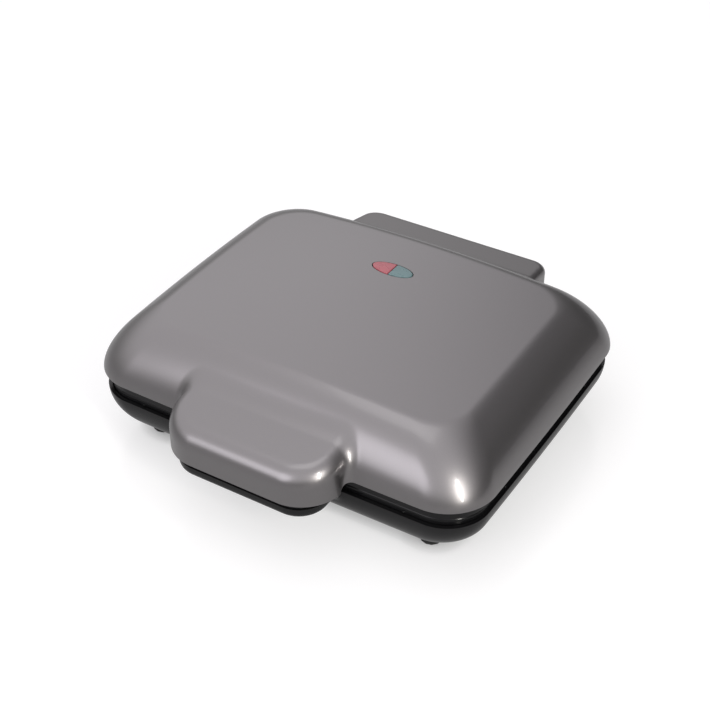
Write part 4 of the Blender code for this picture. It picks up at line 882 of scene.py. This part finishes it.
def camera_floor(tree):
    """What the camera sees of the floor: lit white with a tight shadow near what touches it."""
    lit = add_node(tree, "ShaderNodeBsdfDiffuse", Color=grey(FLOOR_DIFFUSE))
    gloss = add_node(tree, "ShaderNodeBsdfGlossy", Color=grey(FLOOR_GLOSS), Roughness=FLOOR_ROUGHNESS)
    near = add_node(tree, "ShaderNodeAmbientOcclusion", Distance=CONTACT_REACH, samples=16)
    dim = add_node(tree, "ShaderNodeMapRange", From_Min=CONTACT_RANGE[0], From_Max=CONTACT_RANGE[1],
                   To_Min=CONTACT_SHARE * FLOOR_GLOW, To_Max=FLOOR_GLOW)
    link(tree, near, "AO", dim, "Value")
    glow = add_node(tree, "ShaderNodeEmission")
    link(tree, dim, "Result", glow, "Strength")
    seen = joined(tree, "ShaderNodeAddShader", lit.outputs[0], glow.outputs[0])
    return joined(tree, "ShaderNodeAddShader", seen, gloss.outputs[0])


def mirrored_floor(tree):
    """What glossy surfaces show of the floor: it keeps its shadow and fades with distance."""
    place = add_node(tree, "ShaderNodeTexCoord")
    away = add_node(tree, "ShaderNodeVectorMath", operation="LENGTH")
    link(tree, place, "Object", away, 0)
    fade = add_node(tree, "ShaderNodeMapRange", From_Min=MIRRORED_NEAR[0], From_Max=MIRRORED_FAR[0],
                    To_Min=MIRRORED_NEAR[1], To_Max=MIRRORED_FAR[1])
    link(tree, away, "Value", fade, "Value")
    glow = add_node(tree, "ShaderNodeEmission")
    link(tree, fade, "Result", glow, "Strength")
    lit = add_node(tree, "ShaderNodeBsdfDiffuse", Color=grey(MIRRORED_DIFFUSE))
    return joined(tree, "ShaderNodeAddShader", glow.outputs[0], lit.outputs[0])


def floor():
    """A glossy white table that keeps the object's shadow and shows white elsewhere."""
    bm = bmesh.new()
    bmesh.ops.create_grid(bm, x_segments=1, y_segments=1, size=FLOOR_SIZE)
    made = placed("floor", stored(bm, "floor"))
    finish = bpy.data.materials.new("floor")
    finish.use_nodes = True
    tree = finish.node_tree
    tree.nodes.remove(tree.nodes["Principled BSDF"])
    path = add_node(tree, "ShaderNodeLightPath")
    plain = add_node(tree, "ShaderNodeBsdfDiffuse", Color=grey(FLOOR_PLAIN))
    either = joined(tree, "ShaderNodeMath", path.outputs["Is Glossy Ray"],
                    path.outputs["Is Transmission Ray"], operation="MAXIMUM")
    other = joined(tree, "ShaderNodeMixShader", either, plain.outputs[0], mirrored_floor(tree))
    whole = joined(tree, "ShaderNodeMixShader", path.outputs["Is Camera Ray"], other, camera_floor(tree))
    tree.links.new(whole, tree.nodes["Material Output"].inputs["Surface"])
    made.data.materials.append(finish)


def area_light(name, place, aim, size, power, colour=(1, 1, 1)):
    """A soft rectangular light aimed at a point."""
    data = bpy.data.lights.new(name, "AREA")
    data.shape = "RECTANGLE"
    data.size, data.size_y = size
    data.energy = power
    data.color = colour
    made = placed(name, data)
    made.location = place
    made.rotation_euler = (Vector(aim) - Vector(place)).to_track_quat("-Z", "Y").to_euler()


def world_lobe(tree, place, direction, span, low, high):
    """A level that goes smoothly from low to high as a direction nears the given one, over a span."""
    toward = add_node(tree, "ShaderNodeVectorMath", operation="DOT_PRODUCT")
    toward.inputs[1].default_value = Vector(direction).normalized()
    link(tree, place, "Generated", toward, 0)
    level = add_node(tree, "ShaderNodeMapRange", interpolation_type="SMOOTHSTEP",
                     From_Min=span[0], From_Max=span[1], To_Min=low, To_Max=high)
    link(tree, toward, "Value", level, "Value")
    return level.outputs["Result"]


def world():
    """Soft light, with a panel in front on the left and a dark side behind on the right.

    It is brighter above than near the horizon, and the camera sees white.
    """
    made = bpy.data.worlds.new("world")
    bpy.context.scene.world = made
    made.use_nodes = True
    tree = made.node_tree
    room = tree.nodes["Background"]
    panel = add_node(tree, "ShaderNodeBackground", Color=PANEL_COLOUR)
    white = add_node(tree, "ShaderNodeBackground", Color=grey(1), Strength=1.0)
    path = add_node(tree, "ShaderNodeLightPath")
    place = add_node(tree, "ShaderNodeTexCoord")
    climb = world_lobe(tree, place, (0, 0, 1), CLIMB_RANGE, WORLD_HORIZON, WORLD_TOP)
    dark = world_lobe(tree, place, DARK_SIDE, DARK_RANGE, 1, DARK_SHARE)
    front = world_lobe(tree, place, PANEL_SIDE, PANEL_RANGE, 0, PANEL_LEVEL)
    tint = add_node(tree, "ShaderNodeMix", data_type="RGBA")
    tint.inputs[6].default_value = HORIZON_COLOUR
    tint.inputs[7].default_value = ZENITH_COLOUR
    tree.links.new(climb, tint.inputs[0])
    tree.links.new(tint.outputs[2], room.inputs["Color"])
    level = joined(tree, "ShaderNodeMath", climb, dark, operation="MULTIPLY")
    tree.links.new(level, room.inputs["Strength"])
    tree.links.new(front, panel.inputs["Strength"])
    light = joined(tree, "ShaderNodeAddShader", room.outputs[0], panel.outputs[0])
    whole = joined(tree, "ShaderNodeMixShader", path.outputs["Is Camera Ray"], light, white.outputs[0])
    tree.links.new(whole, tree.nodes["World Output"].inputs["Surface"])


dress_nodes()
lid_skin = moulded_skin("lid_skin", lid_distance, (LID_TOP_OUTLINE, LID_OUTLINE),
                        (HANDLE_FRONT_Y, COVER_REAR_Y),
                        (LIP_Z - 2.5 * CELL, LIP_Z + DOME_RISE + CROWN_X + CROWN_Y + 3 * CELL),
                        LIP_Z, True, skirt_height, LID_WALL)
lens_window(lid_skin)
lid_skin.data.materials.append(PAINT)
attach(lid_skin, "lid")
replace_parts(lid_skin, "lid_shell")
lid_fittings()
for lens_name, lens_side, lens_finish in (("red", -1, RED), ("green", 1, GREEN)):
    half = lens_half(f"lens_{lens_name}_fine", lens_side, lens_finish)
    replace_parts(half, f"lens_{lens_name}")

base_skin = moulded_skin("base_skin", base_distance, (BASE_FLOOR_OUTLINE, BASE_OUTLINE),
                         (BASE_HANDLE_FRONT_Y, BASE_OUTLINE[1]),
                         (FLOOR_Z - 2.5 * CELL, RIM_Z + 3 * CELL), RIM_Z, False, rim_height, BASE_WALL)
cut_away(base_skin, base_bores())
base_skin.data.materials.append(BASE)
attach(base_skin, "base")
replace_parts(base_skin, "base_shell")
base_fittings()
bezels()

camera()
floor()
world()
area_light("top_light", TOP_PLACE, TOP_AIM, TOP_SIZE, TOP_POWER)
area_light("spark", SPARK_PLACE, SPARK_AIM, SPARK_SIZE, SPARK_POWER, SPARK_COLOUR)

bpy.context.scene.view_settings.view_transform = "Standard"
